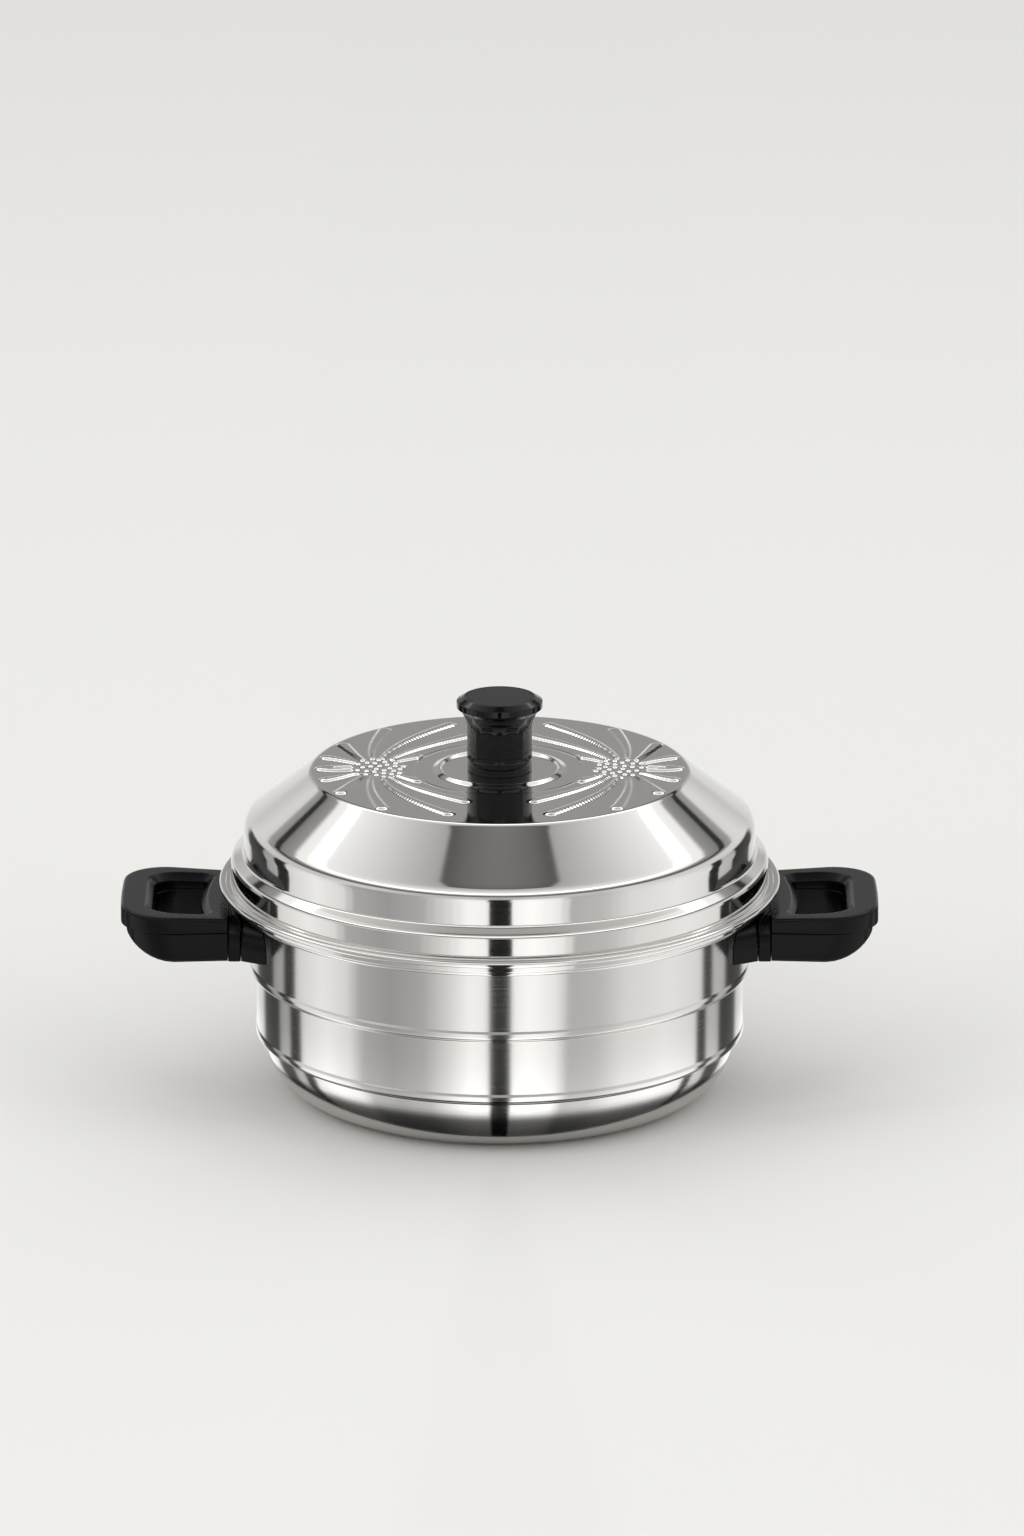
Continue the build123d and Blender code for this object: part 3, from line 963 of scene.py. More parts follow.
@dataclass
class Tray:
    """A flat steaming tray with its two straps."""

    level: Level
    satin: bpy.types.Material
    polished: bpy.types.Material
    strip: bpy.types.Material
    gauge: float = 0.8
    segments: int = 256

    def build(self) -> None:
        """Builds the tray and its straps."""
        body = f"tray_{self.level.value}"
        dull, bright = (0, 0), (1, 1)
        path = [
            Corner(0.0, 0.4, pitch=12, faces=dull),
            Corner(96.0, 0.4, faces=bright),
            Corner(97.2, 0.4, 2.2, faces=bright),
            Corner(103.3, 8.4, 1.7, faces=bright),
            Corner(112.6, 8.4, 0.9, faces=bright),
            Corner(113.55, 9.85, faces=bright),
        ]
        shape = spin(path, self.gauge, self.segments, base_of(body))
        piece = to_object(f"{body}_pressed", shape, [self.satin, self.polished], 40.0)
        settle(piece, body, Slot.SATIN_STEEL, body)
        for side in Side:
            Strap(self.strip).build(f"{body}_strap_{side.value}", body)


HOLE_SEEDS = {Level.LOWER: 7, Level.UPPER: 11}


@dataclass
class IdliPlate:
    """An idli plate: a web with punched steam holes, seven pressed cavities and a raised rim.

    A steam hole's burr runs down from the web's lip to the hole, and sways unevenly.
    """

    level: Level
    web_finish: bpy.types.Material
    bowl_finish: bpy.types.Material
    strip: bpy.types.Material
    gauge: float = 0.8
    web_edge: float = 111.2
    cavity_radius: float = 26.5
    cavity_depth: float = 12.8
    cavity_floor: float = 9.0
    cavity_lip: float = 28.3
    cavity_ring: float = 71.3
    burr: tuple[tuple[float, float], ...] = ((4.1, 0.0), (3.75, 0.05), (3.45, 0.18), (3.3, 0.24))
    burr_sway: float = 0.07
    burr_lift: float = 2.5
    burr_beats: tuple[int, ...] = (2, 3, 4)
    outer_hole_ring: float = 96.0
    outer_hole_spread: float = 8.0
    cavity_sides: int = 72
    cavity_steps: int = 13
    hole_sides: int = 24
    segments: int = 256
    weld_distance: float = 0.002
    sixth: int = 60

    def cavity_centres(self) -> list[Vector]:
        """Gives the middle of each cavity."""
        ring = [around(self.cavity_ring, math.radians(turn)) for turn in range(0, 360, self.sixth)]
        return [Vector((0, 0, 0)), *ring]

    def hole_centres(self) -> list[Vector]:
        """Gives the middle of each steam hole."""
        between = self.sixth / 2
        inner = self.cavity_ring / (2 * math.cos(math.radians(between)))
        spots = [(inner, between), (self.cavity_ring, between)]
        spots += [(self.outer_hole_ring, between + side * self.outer_hole_spread) for side in (-1, 1)]
        turns = range(0, 360, self.sixth)
        return [around(out, math.radians(start + turn)) for out, start in spots for turn in turns]

    def cavity_path(self) -> list[Corner]:
        """Gives a cavity's section: an eased lip, a round wall and a small flat floor."""
        radius, floor, depth = self.cavity_radius, self.cavity_floor, self.cavity_depth
        centre = (radius**2 - floor**2 - depth**2) / (2 * depth)
        sphere = math.hypot(radius, centre)
        mouth, foot = math.asin(radius / sphere), math.asin(floor / sphere)
        steps = self.cavity_steps
        turns = [mouth + (foot - mouth) * step / steps for step in range(1, steps)]
        wall = [Corner(sphere * math.sin(turn), centre - sphere * math.cos(turn)) for turn in turns]
        return [
            Corner(self.cavity_lip, 0.0),
            Corner(radius, 0.0, 1.4),
            *wall,
            Corner(floor, -depth, 1.6, pitch=3.0),
            Corner(0.4, -depth),
        ]

    def web(self, shape: bmesh.types.BMesh, centres: Sequence[tuple[Vector, float, int]]) -> None:
        """Fills the web between its rim and its round openings.

        Args:
            shape: The mesh that gets the web.
            centres: The middle, radius and number of sides of each opening.
        """
        nearly, epsilon = 0.995, 1e-6
        points: list[Vector] = []
        edges: list[tuple[int, int]] = []
        for centre, radius, sides in [(Vector((0, 0, 0)), self.web_edge, self.segments), *centres]:
            first = len(points)
            loop = rings([Spot(radius, 0.0)], sides, centre)[0]
            points += [point.to_2d() for point in loop]
            edges += [(first + step, first + (step + 1) % sides) for step in range(sides)]
        spots, _, faces, *_ = delaunay_2d_cdt(points, edges, [], 0, epsilon)
        corners = [shape.verts.new((spot.x, spot.y, 0)) for spot in spots]
        for face in faces:
            middle = sum((spots[index] for index in face), Vector((0, 0))) / len(face)
            gaps = ((middle - centre.to_2d()).length / radius for centre, radius, _ in centres)
            if min(gaps) >= nearly and middle.length < self.web_edge:
                shape.faces.new([corners[index] for index in face])

    def punch(self, shape: bmesh.types.BMesh, centre: Vector, rough: random.Random) -> None:
        """Adds the uneven burr of a punched steam hole.

        Args:
            shape: The mesh that gets the burr.
            centre: The hole's middle.
            rough: The source of the burr's waves.
        """
        loops = rings([Spot(out, up) for out, up in self.burr], self.hole_sides, centre)
        waves = [
            (beat, rough.uniform(0, math.tau), rough.uniform(0.0, self.burr_sway)) for beat in self.burr_beats
        ]
        for loop in loops[1:]:
            for place, point in enumerate(loop):
                turn = math.tau * place / self.hole_sides
                swell = sum(size * math.sin(beat * turn + start) for beat, start, size in waves)
                point.xy = centre.xy + (point.xy - centre.xy) * (1 + swell)
                point.z *= 1 + self.burr_lift * swell
        loft(shape, loops, [0, 0, 2, 2])

    def build(self) -> None:
        """Builds the plate and its straps."""
        body = f"idli_plate_{self.level.value}"
        shape = bmesh.new()
        cavities, holes = self.cavity_centres(), self.hole_centres()
        openings = [(centre, self.cavity_lip, self.cavity_sides) for centre in cavities]
        openings += [(centre, self.burr[0][0], self.hole_sides) for centre in holes]
        self.web(shape, openings)
        spots = trace(self.cavity_path())
        for centre in cavities:
            rows = loft(shape, rings(spots, self.cavity_sides, centre), [1] * len(spots))
            shape.faces.new(rows[-1]).material_index = 1
        rough = random.Random(HOLE_SEEDS[self.level])
        for centre in holes:
            self.punch(shape, centre, rough)
        rim = [
            Corner(self.web_edge, 0.0),
            Corner(111.75, 0.0, 0.7),
            Corner(113.35, 2.7, 0.7),
            Corner(114.0, 3.0, 0.6),
            Corner(115.0, 3.0, 0.75),
            Corner(115.0, 1.5),
        ]
        spots = trace(rim)
        loft(shape, rings(spots, self.segments), [1] * len(spots))
        bmesh.ops.remove_doubles(shape, verts=shape.verts, dist=self.weld_distance)
        up = base_of(body) + self.cavity_depth
        bmesh.ops.translate(shape, verts=shape.verts, vec=(0, 0, up + self.gauge))
        bmesh.ops.recalc_face_normals(shape, faces=shape.faces)
        if max(shape.faces, key=lambda face: face.calc_area()).normal.z < 0:
            bmesh.ops.reverse_faces(shape, faces=shape.faces)
        bmesh.ops.solidify(shape, geom=shape.faces[:], thickness=-self.gauge)
        piece = to_object(f"{body}_pressed", shape, [self.web_finish, self.bowl_finish, self.strip], 50.0)
        settle(piece, body, Slot.POLISHED_STEEL, body)
        for side in Side:
            Strap(self.strip).build(f"{body}_strap_{side.value}", body)


@dataclass
class Outline:
    """A four-sided plan with rounded corners, mirrored about X.

    The far side bows outward, and the near side can follow a circle around the pot. The
    plan grows on its far side and both long sides, and on all four if it grows all round.
    """

    near: float
    far: float
    near_half: float
    far_half: float
    near_bend: float
    far_bend: float
    bow: float = 0.0
    circle: float = 0.0
    all_round: bool = False
    least_bend: float = 0.2
    run_steps: int = 14
    bend_steps: int = 9

    def loop(self, grow: float) -> list[Vector]:
        """Gives the plan's points, the same number at any size.

        Args:
            grow: How far its sides move outward.

        Returns:
            The points, from the near side's corner.
        """
        near_grow = grow if self.all_round else 0.0
        near, far = self.near - near_grow, self.far + grow
        near_bend = max(self.least_bend, self.near_bend + min(grow, near_grow))
        far_bend = max(self.least_bend, self.far_bend + grow)
        corners = [
            (Vector((near, -self.near_half - grow)), near_bend),
            (Vector((far, -self.far_half - grow)), far_bend),
            (Vector((far, self.far_half + grow)), far_bend),
            (Vector((near, self.near_half + grow)), near_bend),
        ]
        points: list[Vector] = []
        for index, (corner, bend) in enumerate(corners):
            before, after = corners[index - 1][0], corners[(index + 1) % len(corners)][0]
            arc = round_off(before, corner, after, bend, self.bend_steps)
            if points:
                points += self.between(points[-1], arc[0])
            points += arc
        points += self.between(points[-1], points[0])
        return [self.bent(point, near, far) for point in points]

    def between(self, start: Vector, end: Vector) -> list[Vector]:
        """Gives the points that split the run between two others."""
        return [start.lerp(end, step / self.run_steps) for step in range(1, self.run_steps)]

    def bent(self, point: Vector, near: float, far: float) -> Vector:
        """Moves a point with the bow of the far side and the circle of the near side.

        Args:
            point: The point on the straight plan.
            near: The near side's place.
            far: The far side's place.

        Returns:
            The moved point.
        """
        share = (point.x - near) / (far - near)
        across = min(1.0, abs(point.y) / self.far_half)
        out = point.x + self.bow * (1 - across**2) * share
        if self.circle:
            sag = self.circle - math.sqrt(self.circle**2 - point.y**2)
            out -= sag * (1 - share)
        return Vector((out, point.y))


@dataclass
class Handle:
    """A side handle: a guard, a collar and a two-part grip with a finger opening."""

    side: Side
    phenolic: bpy.types.Material
    steel: bpy.types.Material
    zinc: bpy.types.Material
    root: float = 129.0
    tip: float = 179.69
    bottom: float = 73.6
    seam: float = 88.2
    root_top: float = 95.0
    tip_rise: float = 1.9
    lip: float = 0.8
    top_bevel: float = 1.7
    ease: float = 0.45
    crease: float = 38.0
    root_half: float = 38.5
    tip_half: float = 42.5
    root_bend: float = 0.3
    tip_bend: float = 20.0
    tip_bow: float = 1.5
    opening_near: float = 142.5
    opening_far: float = 165.3
    opening_half: float = 29.5
    opening_near_bend: float = 4.0
    opening_far_bend: float = 11.0
    opening_bevel: float = 3.3
    flat_end: float = 153.0
    tip_bottom: float = 86.0
    lower_set_back: float = 1.7
    lower_narrower: float = 0.5
    lower_ease: float = 1.6
    groove_depth: float = 0.9
    groove_height: float = 0.6
    hole_radius: float = 4.2
    hole_depth: float = 3.2
    hole_ease: float = 0.6
    hole_ease_start: float = 0.4
    hole_sides: int = 48
    cutter_reach: float = 6.0
    bolt_height: float = 81.0
    block_corner: float = 12.0
    block_crease: float = 40.0
    block_edges: tuple[float, float, float] = (0.8, 0.5, 0.9)
    block_foot: float = 0.3
    collar_near: float = 122.8
    collar_far: float = 128.8
    collar_top: float = 93.4
    guard_wall: float = 119.45
    guard_face: float = 122.6
    guard_flare: float = 6.0
    guard_top: float = 91.2
    guard_steps: int = 28

    def grip_plan(self, set_back: float = 0.0, narrower: float = 0.0) -> Outline:
        """Gives the plan of the grip.

        Args:
            set_back: How much shorter it is at the tip.
            narrower: How much less its half width is at the tip.

        Returns:
            The plan.
        """
        far, half = self.tip - self.tip_bow - set_back, self.tip_half - narrower
        return Outline(self.root, far, self.root_half, half, self.root_bend, self.tip_bend, self.tip_bow)

    def opening_plan(self) -> Outline:
        """Gives the plan of the finger opening."""
        near, half = self.opening_near, self.opening_half
        bends = (self.opening_near_bend, self.opening_far_bend)
        return Outline(near, self.opening_far, half, half, *bends, circle=near, all_round=True)

    def top(self, out: float) -> float:
        """Gives the height of the cover's top at a distance out."""
        return self.root_top + self.tip_rise * (out - self.root) / (self.tip - self.root)

    def underside(self, out: float) -> float:
        """Gives the height of the grip's underside at a distance out.

        Args:
            out: The distance from the axis.

        Returns:
            The height, which sweeps up in an arc towards the tip.
        """
        if out <= self.flat_end:
            return self.bottom
        run, rise = self.tip - self.flat_end, self.tip_bottom - self.bottom
        radius = (run**2 + rise**2) / (2 * rise)
        return self.bottom + radius - math.sqrt(radius**2 - min(out - self.flat_end, run) ** 2)

    def raised(self, loop: Sequence[Vector], height: Callable[[float], float]) -> list[Vector]:
        """Lifts a flat loop, on the handle's own side of the pot.

        Args:
            loop: The points from above, on the right of the pot.
            height: The height by the distance out.

        Returns:
            The points in space.
        """
        sign = 1 if self.side is Side.RIGHT else -1
        return [Vector((sign * point.x, point.y, height(point.x))) for point in loop]

    def over_seam(self, lift: float) -> Callable[[float], float]:
        """Gives a level height, measured up from the seam."""
        return lambda out: self.seam + lift

    def under_top(self, drop: float) -> Callable[[float], float]:
        """Gives a height that follows the cover's top, measured down from it."""
        return lambda out: self.top(out) - drop

    def moulding(
        self, name: str, rows: Sequence[tuple[Outline, float, Callable[[float], float]]]
    ) -> bpy.types.Object:
        """Builds a moulding with an opening from the outlines around its wall.

        Args:
            name: The piece's name.
            rows: Each outline, how far it grows, and its height by the distance out.

        Returns:
            The moulding.
        """
        shape = bmesh.new()
        loft(shape, [self.raised(plan.loop(grow), height) for plan, grow, height in rows], closed=True)
        return to_object(f"{name}_{self.side.value}", shape, [self.phenolic], self.crease)

    def cover(self) -> bpy.types.Object:
        """Builds the grip's cover, with its overhanging lip and eased edges."""
        plan, opening = self.grip_plan(), self.opening_plan()
        lip, bevel, ease, width = self.lip, self.top_bevel, self.ease, self.opening_bevel
        rows = [
            (opening, ease, self.over_seam(0.0)),
            (plan, lip - ease, self.over_seam(0.0)),
            (plan, lip - 0.12, self.over_seam(0.15)),
            (plan, lip, self.over_seam(ease)),
            (plan, lip, self.over_seam(2.4)),
            (plan, lip, self.under_top(bevel)),
        ]
        for turn in (math.radians(angle) for angle in (22, 45, 68, 90)):
            inset, drop = bevel * (1 - math.cos(turn)), bevel * (1 - math.sin(turn))
            rows.append((plan, lip - inset, self.under_top(drop)))
        rows += [
            (plan, lip - bevel - 1.0, self.top),
            (opening, width + 0.9, self.top),
            (opening, width + 0.2, self.under_top(0.06)),
            (opening, width - 0.4, self.under_top(0.55)),
            (opening, 0.35, self.under_top(width - 0.35)),
            (opening, 0.0, self.under_top(width + 0.35)),
            (opening, 0.0, self.over_seam(ease)),
        ]
        return self.moulding("grip_cover_moulding", rows)

    def lower(self) -> bpy.types.Object:
        """Builds the grip's lower half, with its swept underside and the groove at the seam."""
        plan, opening = self.grip_plan(self.lower_set_back, self.lower_narrower), self.opening_plan()
        ease, groove = self.lower_ease, self.groove_depth
        ledge = self.seam - self.groove_height
        rows = [(opening, 0.5, self.underside)]
        for turn in (math.radians(angle) for angle in (0, 30, 60, 90)):
            inset, rise = ease * (1 - math.sin(turn)), ease * (1 - math.cos(turn))
            rows.append((plan, -inset, lambda out, rise=rise: min(self.underside(out) + rise, ledge - 0.2)))
        rows += [
            (plan, 0.0, lambda out: max(self.underside(out) + ease, ledge - 0.4)),
            (plan, -groove, self.over_seam(-self.groove_height)),
            (plan, -groove, self.over_seam(0.0)),
            (opening, 0.3, self.over_seam(0.0)),
            (opening, 0.0, self.over_seam(-0.3)),
            (opening, 0.0, lambda out: min(self.underside(out) + 0.5, ledge)),
        ]
        return self.moulding("grip_lower_moulding", rows)

    def sink(self, piece: bpy.types.Object) -> None:
        """Cuts the hole for the bolt's head into the inner wall of the finger opening.

        Args:
            piece: The grip's lower half.
        """
        wall, flare = self.opening_near, self.hole_ease
        start = wall - self.hole_ease_start
        path = (
            (wall - self.hole_depth, self.hole_radius),
            (start, self.hole_radius),
            (start + flare, self.hole_radius + flare),
            (wall + self.cutter_reach, self.hole_radius + flare),
        )
        sign = 1 if self.side is Side.RIGHT else -1
        turns = [math.tau * step / self.hole_sides for step in range(self.hole_sides)]
        loops = [
            [
                Vector((sign * out, radius * math.cos(turn), self.bolt_height + radius * math.sin(turn)))
                for turn in turns
            ]
            for out, radius in path
        ]
        shape = bmesh.new()
        loft(shape, loops, capped=True)
        cutter = to_object("bolt_hole_cutter", shape, [self.phenolic])
        cut = piece.modifiers.new("bolt_hole", "BOOLEAN")
        cut.object, cut.operation, cut.solver = cutter, "DIFFERENCE", "EXACT"
        shaped = piece.evaluated_get(bpy.context.evaluated_depsgraph_get())
        piece.data = bpy.data.meshes.new_from_object(shaped)
        piece.data.set_sharp_from_angle(angle=math.radians(self.crease))
        piece.modifiers.remove(cut)
        bpy.data.objects.remove(cutter)

    def widths(self, top: float) -> list[tuple[float, float, float]]:
        """Gives the levels of a block with rounded top corners.

        Args:
            top: The height of the block's top.

        Returns:
            The height, the half width and the easing of its long edges at each level.
        """
        radius, half = self.block_corner, self.root_half
        foot_edge, edge, crown_edge = self.block_edges
        levels = [
            (self.bottom, half - self.block_foot, foot_edge),
            (self.bottom + self.block_foot, half, edge),
            (top - radius, half, edge),
        ]
        for angle in range(9, 91, 9):
            turn = math.radians(angle)
            height = top - radius * (1 - math.sin(turn))
            levels.append((height, half - radius * (1 - math.cos(turn)), crown_edge if angle == 90 else edge))
        return levels

    def block(
        self, name: str, top: float, plan: Callable[[float, float], list[tuple[float, float]]]
    ) -> bpy.types.Object:
        """Builds an upright block with rounded top corners and eased edges.

        Args:
            name: The piece's name.
            top: The height of its top.
            plan: Gives the plan on the right of the pot from a half width and an easing.

        Returns:
            The block.
        """
        loops = [
            self.raised([Vector(point) for point in plan(half, ease)], lambda out, height=height: height)
            for height, half, ease in self.widths(top)
        ]
        shape = bmesh.new()
        loft(shape, loops, capped=True)
        return to_object(f"{name}_{self.side.value}", shape, [self.phenolic], self.block_crease)

    def collar_plan(self, half: float, ease: float) -> list[tuple[float, float]]:
        """Gives the collar's plan from its half width and easing.

        Args:
            half: The half width.
            ease: The width of its eased edges.

        Returns:
            The plan's points.
        """
        near, far = self.collar_near, self.collar_far
        side = [(near, half - ease), (near + ease, half), (far - ease, half), (far, half - ease)]
        return side + [(out, -across) for out, across in reversed(side)]

    def guard_plan(self, half: float, ease: float) -> list[tuple[float, float]]:
        """Gives the guard's plan from its half width and easing.

        Args:
            half: The half width at its outer face.
            ease: The width of its eased edges.

        Returns:
            The plan's points, with the pot's side along the wall.
        """
        spread, count = half + self.guard_flare, self.guard_steps
        steps = [spread * (1 - 2 * step / count) for step in range(count + 1)]
        wall = [(math.sqrt(self.guard_wall**2 - across**2), across) for across in steps]
        face = self.guard_face
        return wall + [(face - ease, -half), (face, ease - half), (face, half - ease), (face - ease, half)]

    def build(self) -> None:
        """Builds the handle's mouldings and dresses its bracket and bolt."""
        place = self.side.value
        settle(self.cover(), "pot", Slot.SATIN_PHENOLIC, f"grip_cover_{place}")
        lower = self.lower()
        self.sink(lower)
        settle(lower, "pot", Slot.SATIN_PHENOLIC, f"grip_lower_{place}")
        collar = self.block("handle_collar_moulding", self.collar_top, self.collar_plan)
        settle(collar, "pot", Slot.SATIN_PHENOLIC, f"handle_collar_{place}")
        guard = self.block("flame_guard_moulding", self.guard_top, self.guard_plan)
        settle(guard, "pot", Slot.SATIN_PHENOLIC, f"flame_guard_{place}")
        dress(f"handle_bracket_{place}", self.steel)
        dress(f"handle_bolt_{place}", self.zinc)


# Studio


@dataclass
class Studio:
    """A pale floor, soft boxes, and the graded reflector that the steel mirrors.

    The reflector's profiles pair a place with its glow. A place on its lying and its standing
    part is an angle from the front to the right, and one on its arching dome is an angle up.
    The runs pair a distance from the steamer with a share of the lying part's glow, and the
    last share holds as far as the reach. The low shares nearest the steamer, down to beneath
    its foot, are painted shade: they stand in for the floor's shadow around the foot, which
    the reflector hides from reflections.
    """

    floor_colour: str = "#e6e5e2"
    air_colour: str = "#f2f2f2"
    backdrop_colour: str = "#dbdad7"
    floor_size: float = 9000.0
    reach: float = 2500.0
    wall: float = 119.2
    lying: tuple[tuple[float, float], ...] = (
        (-180, 0.9), (-165, 0.9), (-153, 0.8), (-148, 0.1), (-130, 0.05), (-128, 0.45), (-119.5, 0.55),
        (-118, 0.03), (-110, 0.03), (-108.5, 0.95), (-90, 1.2), (-76, 1.02), (-68, 0.55), (-52, 0.45),
        (-36, 0.56), (-24, 0.95), (-14, 1.35), (-5.8, 1.3), (-4.2, 0.02), (4.2, 0.02), (5.8, 1.35),
        (14, 1.45), (26, 1.2), (32, 0.62), (46, 0.7), (60, 1.0), (85, 1.15), (107, 1.0), (108.5, 0.03),
        (115, 0.03), (116.5, 0.7), (127, 0.6), (129, 0.05), (148, 0.1), (153, 0.8), (165, 0.9), (180, 0.9),
    )  # fmt: skip
    standing: tuple[tuple[float, float], ...] = (
        (-180, 0.4), (-168, 0.45), (-150, 0.95), (-120, 0.8), (-60, 0.9), (-36, 0.7), (-14, 0.8),
        (0, 0.6), (14, 0.8), (46, 0.75), (60, 1.0), (120, 0.9), (150, 1.0), (168, 0.45), (180, 0.4),
    )  # fmt: skip
    arching: tuple[tuple[float, float], ...] = (
        (23.6, 0.45), (26.5, 0.4), (27.0, 0.03), (29.2, 0.03), (29.8, 0.3), (35, 0.42), (36.5, 1.3),
        (40.5, 1.3), (41.5, 3.0), (45, 3.0), (46, 1.3), (56, 1.05), (66, 0.78), (75, 0.56), (76, 0.12),
        (80, 0.2), (89.9, 0.3),
    )  # fmt: skip
    # Painted shade: the low shares nearest the steamer darken the lying part around and under its foot,
    # standing in for the floor's shadow that the pot's bottom corner mirrors.
    runs: tuple[tuple[float, float], ...] = (
        (-16, 0.04), (4, 0.12), (12, 0.5), (26, 1.5), (80, 1.45), (140, 1.05),
    )  # fmt: skip
    turn_step: int = 4
    level_step: int = 6
    lying_height: float = 1.0
    wall_heights: tuple[float, float, float, float] = (1.0, 400.0, 650.0, 1190.0)
    dome_height: float = 150.0
    lamp_aim: tuple[float, float, float] = (0.0, 0.0, 100.0)

    def floor(self) -> None:
        """Lays the floor."""
        shape = bmesh.new()
        bmesh.ops.create_grid(shape, x_segments=1, y_segments=1, size=self.floor_size)
        paper, *_ = Finish("studio_paper_matt", self.floor_colour, MATT).start({"Specular IOR Level": 0.1})
        to_object("studio_floor", shape, [paper])

    def spot(self, turn: float, run: float, up: float) -> Vector:
        """Gives a point on the line along which the steamer's wall sends one line of sight.

        Args:
            turn: The line's angle in degrees from the front to the right.
            run: The distance from the wall.
            up: The height.

        Returns:
            The point.
        """
        half, whole = math.radians(turn / 2), math.radians(turn)
        out = self.wall * math.sin(half) + run * math.sin(whole)
        return Vector((out, -self.wall * math.cos(half) - run * math.cos(whole), up))

    def glowing(self, name: str, rows: Sequence[Sequence[tuple[Vector, float]]], closed: bool) -> None:
        """Builds a part of the reflector, which only reflections see.

        Args:
            name: The part's name.
            rows: Rows of points, each with its glow.
            closed: Whether each row's last point joins its first.
        """
        shape = bmesh.new()
        layer = shape.verts.layers.float.new("glow")
        lines = []
        for row in rows:
            lines.append([shape.verts.new(point) for point, _ in row])
            for vertex, (_, glow) in zip(lines[-1], row):
                vertex[layer] = glow
        for near, far in zip(lines, lines[1:]):
            for place in range(0 if closed else 1, len(near)):
                shape.faces.new((near[place - 1], near[place], far[place], far[place - 1]))
        dark = {"Specular IOR Level": 0.0, "Emission Color": linear("#ffffff")}
        finish, tree, shader = Finish(f"{name}_face", "#000000", MATT).start(dark)
        glow_node = add_node(tree, "ShaderNodeAttribute", {"attribute_name": "glow"})
        tree.links.new(glow_node.outputs["Fac"], shader.inputs["Emission Strength"])
        piece = to_object(name, shape, [finish])
        for sight in ("camera", "diffuse", "shadow", "transmission"):
            setattr(piece, f"visible_{sight}", False)

    def reflector(self) -> None:
        """Builds the graded reflector that lies, stands and arches around the steamer.

        Steel needs large soft lights and dark gaps to show its form.
        """
        written = {float(turn) for turn, _ in self.lying + self.standing}
        turns = sorted(written | set(range(-180, 180, self.turn_step)))
        lying = [float(np.interp(turn, *zip(*self.lying))) for turn in turns]
        standing = [float(np.interp(turn, *zip(*self.standing))) for turn in turns]
        floor = [
            [(self.spot(turn, run, self.lying_height), share * glow) for turn, glow in zip(turns, lying)]
            for run, share in (*self.runs, (self.reach, self.runs[-1][1]))
        ]
        self.glowing("studio_reflector_floor", floor, closed=False)
        walls = [
            [(self.spot(turn, self.reach, up), glow) for turn, glow in zip(turns, glows)]
            for up, glows in zip(self.wall_heights, (lying, lying, standing, standing))
        ]
        dome = (self.reach + self.wall) / math.cos(math.radians(self.arching[0][0]))
        levels = {level for level, _ in self.arching}
        for level in sorted(levels | set(range(30, 90, self.level_step))):
            lift, glow = math.radians(level), float(np.interp(level, *zip(*self.arching)))
            out, up = dome * math.cos(lift), self.dome_height + dome * math.sin(lift)
            angles = [math.radians(turn) for turn in turns]
            arch = [Vector((out * math.sin(turn), -out * math.cos(turn), up)) for turn in angles]
            walls.append([(point, glow) for point in arch])
        self.glowing("studio_reflector_dome", walls, closed=True)

    def soft_box(
        self, name: str, place: tuple[float, float, float], size: tuple[float, float], power: float
    ) -> None:
        """Hangs a soft box that faces the steamer.

        Args:
            name: The lamp's name.
            place: Where it hangs, in millimetres.
            size: Its width and height in millimetres.
            power: Its power in watts.
        """
        lamp = bpy.data.lights.new(name, "AREA")
        lamp.shape = "RECTANGLE"
        lamp.size, lamp.size_y = size[0] * MM, size[1] * MM
        lamp.energy = power
        holder = bpy.data.objects.new(name, lamp)
        holder.location = Vector(place) * MM
        aim = Vector(self.lamp_aim) * MM - holder.location
        holder.rotation_euler = aim.to_track_quat("-Z", "Y").to_euler()
        holder.visible_glossy = False
        bpy.context.scene.collection.objects.link(holder)

    def air(self) -> None:
        """Lights the studio evenly all round, and shows the floor's colour beyond the floor."""
        world = bpy.data.worlds.new("studio_air")
        world.use_nodes = True
        tree = world.node_tree
        tree.nodes.clear()
        light, backdrop = (
            add_node(tree, "ShaderNodeBackground", {"Color": linear(colour), "Strength": 1.0})
            for colour in (self.air_colour, self.backdrop_colour)
        )
        path = add_node(tree, "ShaderNodeLightPath").outputs
        seen = path["Is Camera Ray"]
        for sight in ("Is Glossy Ray", "Is Transmission Ray"):
            most = add_node(tree, "ShaderNodeMath", {"operation": "MAXIMUM"}, {0: seen, 1: path[sight]})
            seen = most.outputs["Value"]
        mix = add_node(
            tree,
            "ShaderNodeMixShader",
            links={0: seen, 1: light.outputs["Background"], 2: backdrop.outputs["Background"]},
        )
        add_node(tree, "ShaderNodeOutputWorld", links={"Surface": mix.outputs["Shader"]})
        bpy.context.scene.world = world

    def build(self) -> None:
        """Builds the studio."""
        self.floor()
        self.reflector()
        self.soft_box("soft_box_front_left", (-1500, -1300, 1500), (1500, 1800), 8)
        self.soft_box("soft_box_front_right", (1600, -1100, 1400), (1500, 1800), 5)
        self.soft_box("soft_box_top", (0, 900, 2000), (2000, 1600), 5)
        self.air()
        bpy.context.scene.view_settings.view_transform = "Standard"
        LOG.info("studio: floor, reflector, soft boxes and air")


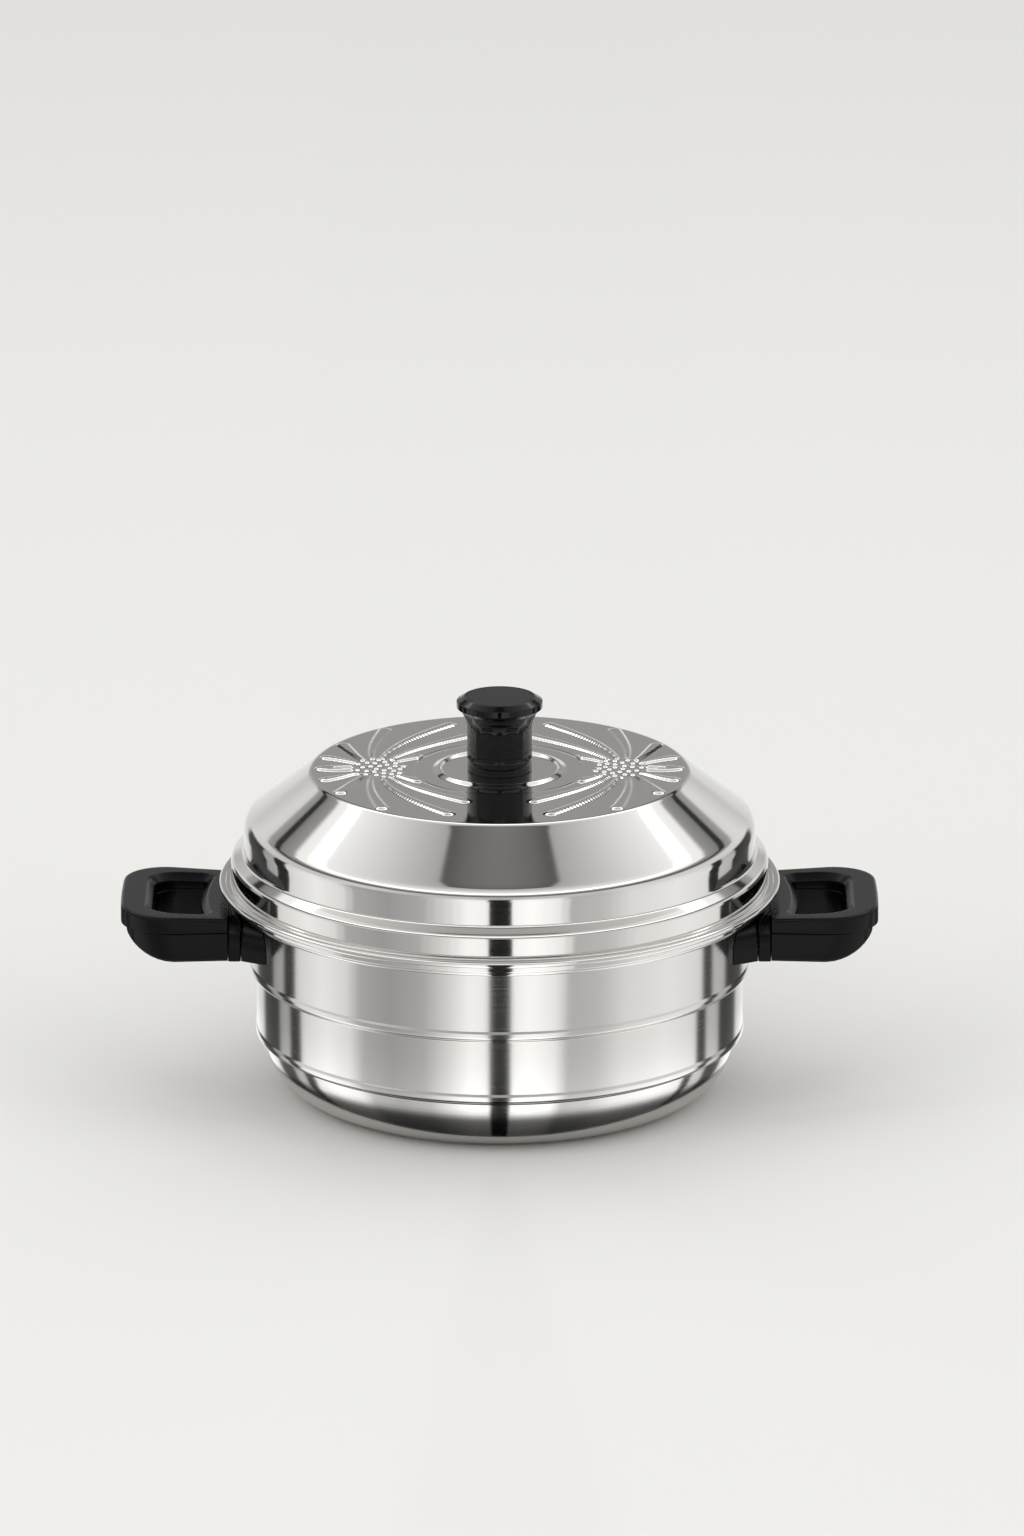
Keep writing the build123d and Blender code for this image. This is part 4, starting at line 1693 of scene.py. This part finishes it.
@dataclass
class Camera:
    """The camera at the photograph's viewing angle."""

    pitch: float = 16.9
    distance: float = 4931.0
    aim_height: float = 158.0
    across: float = 5.9
    lens: float = 243.0
    sensor: float = 36.0

    def build(self) -> None:
        """Sets the camera up."""
        data = bpy.data.cameras.new("photo_camera")
        data.lens = self.lens
        data.sensor_width = self.sensor
        camera = bpy.data.objects.new("photo_camera", data)
        pitch = math.radians(self.pitch)
        camera.location = (
            self.across * MM,
            -self.distance * math.cos(pitch) * MM,
            (self.aim_height + self.distance * math.sin(pitch)) * MM,
        )
        camera.rotation_euler = (math.radians(90) - pitch, 0, 0)
        bpy.context.scene.collection.objects.link(camera)
        bpy.context.scene.camera = camera
        LOG.info("camera: %.1f degrees down from %.2f m", self.pitch, self.distance * MM)


def main() -> None:
    """Builds the steamer's pieces, its studio and its camera."""
    logging.basicConfig(level=logging.INFO, format="%(name)s: %(message)s")
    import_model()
    brushed, polished, satin = BRUSHED.make(), POLISHED.make(), SATIN.make()
    pressed, bright, strip = PRESSED.make(), BRIGHT_ROLLED.make(), SHEARED.make()
    phenolic, gloss, zinc = SATIN_PHENOLIC.make(), GLOSS_PHENOLIC.make(), ZINC.make()
    Pot(brushed, polished).build()
    for side in Side:
        Handle(side, phenolic, brushed, zinc).build()
    for level in Level:
        Tray(level, satin, polished, strip).build()
        IdliPlate(level, bright, pressed, strip).build()
    Lid(polished).build()
    Knob(gloss, phenolic, zinc).build()
    Studio().build()
    Camera().build()


if __name__ == "__main__":
    main()
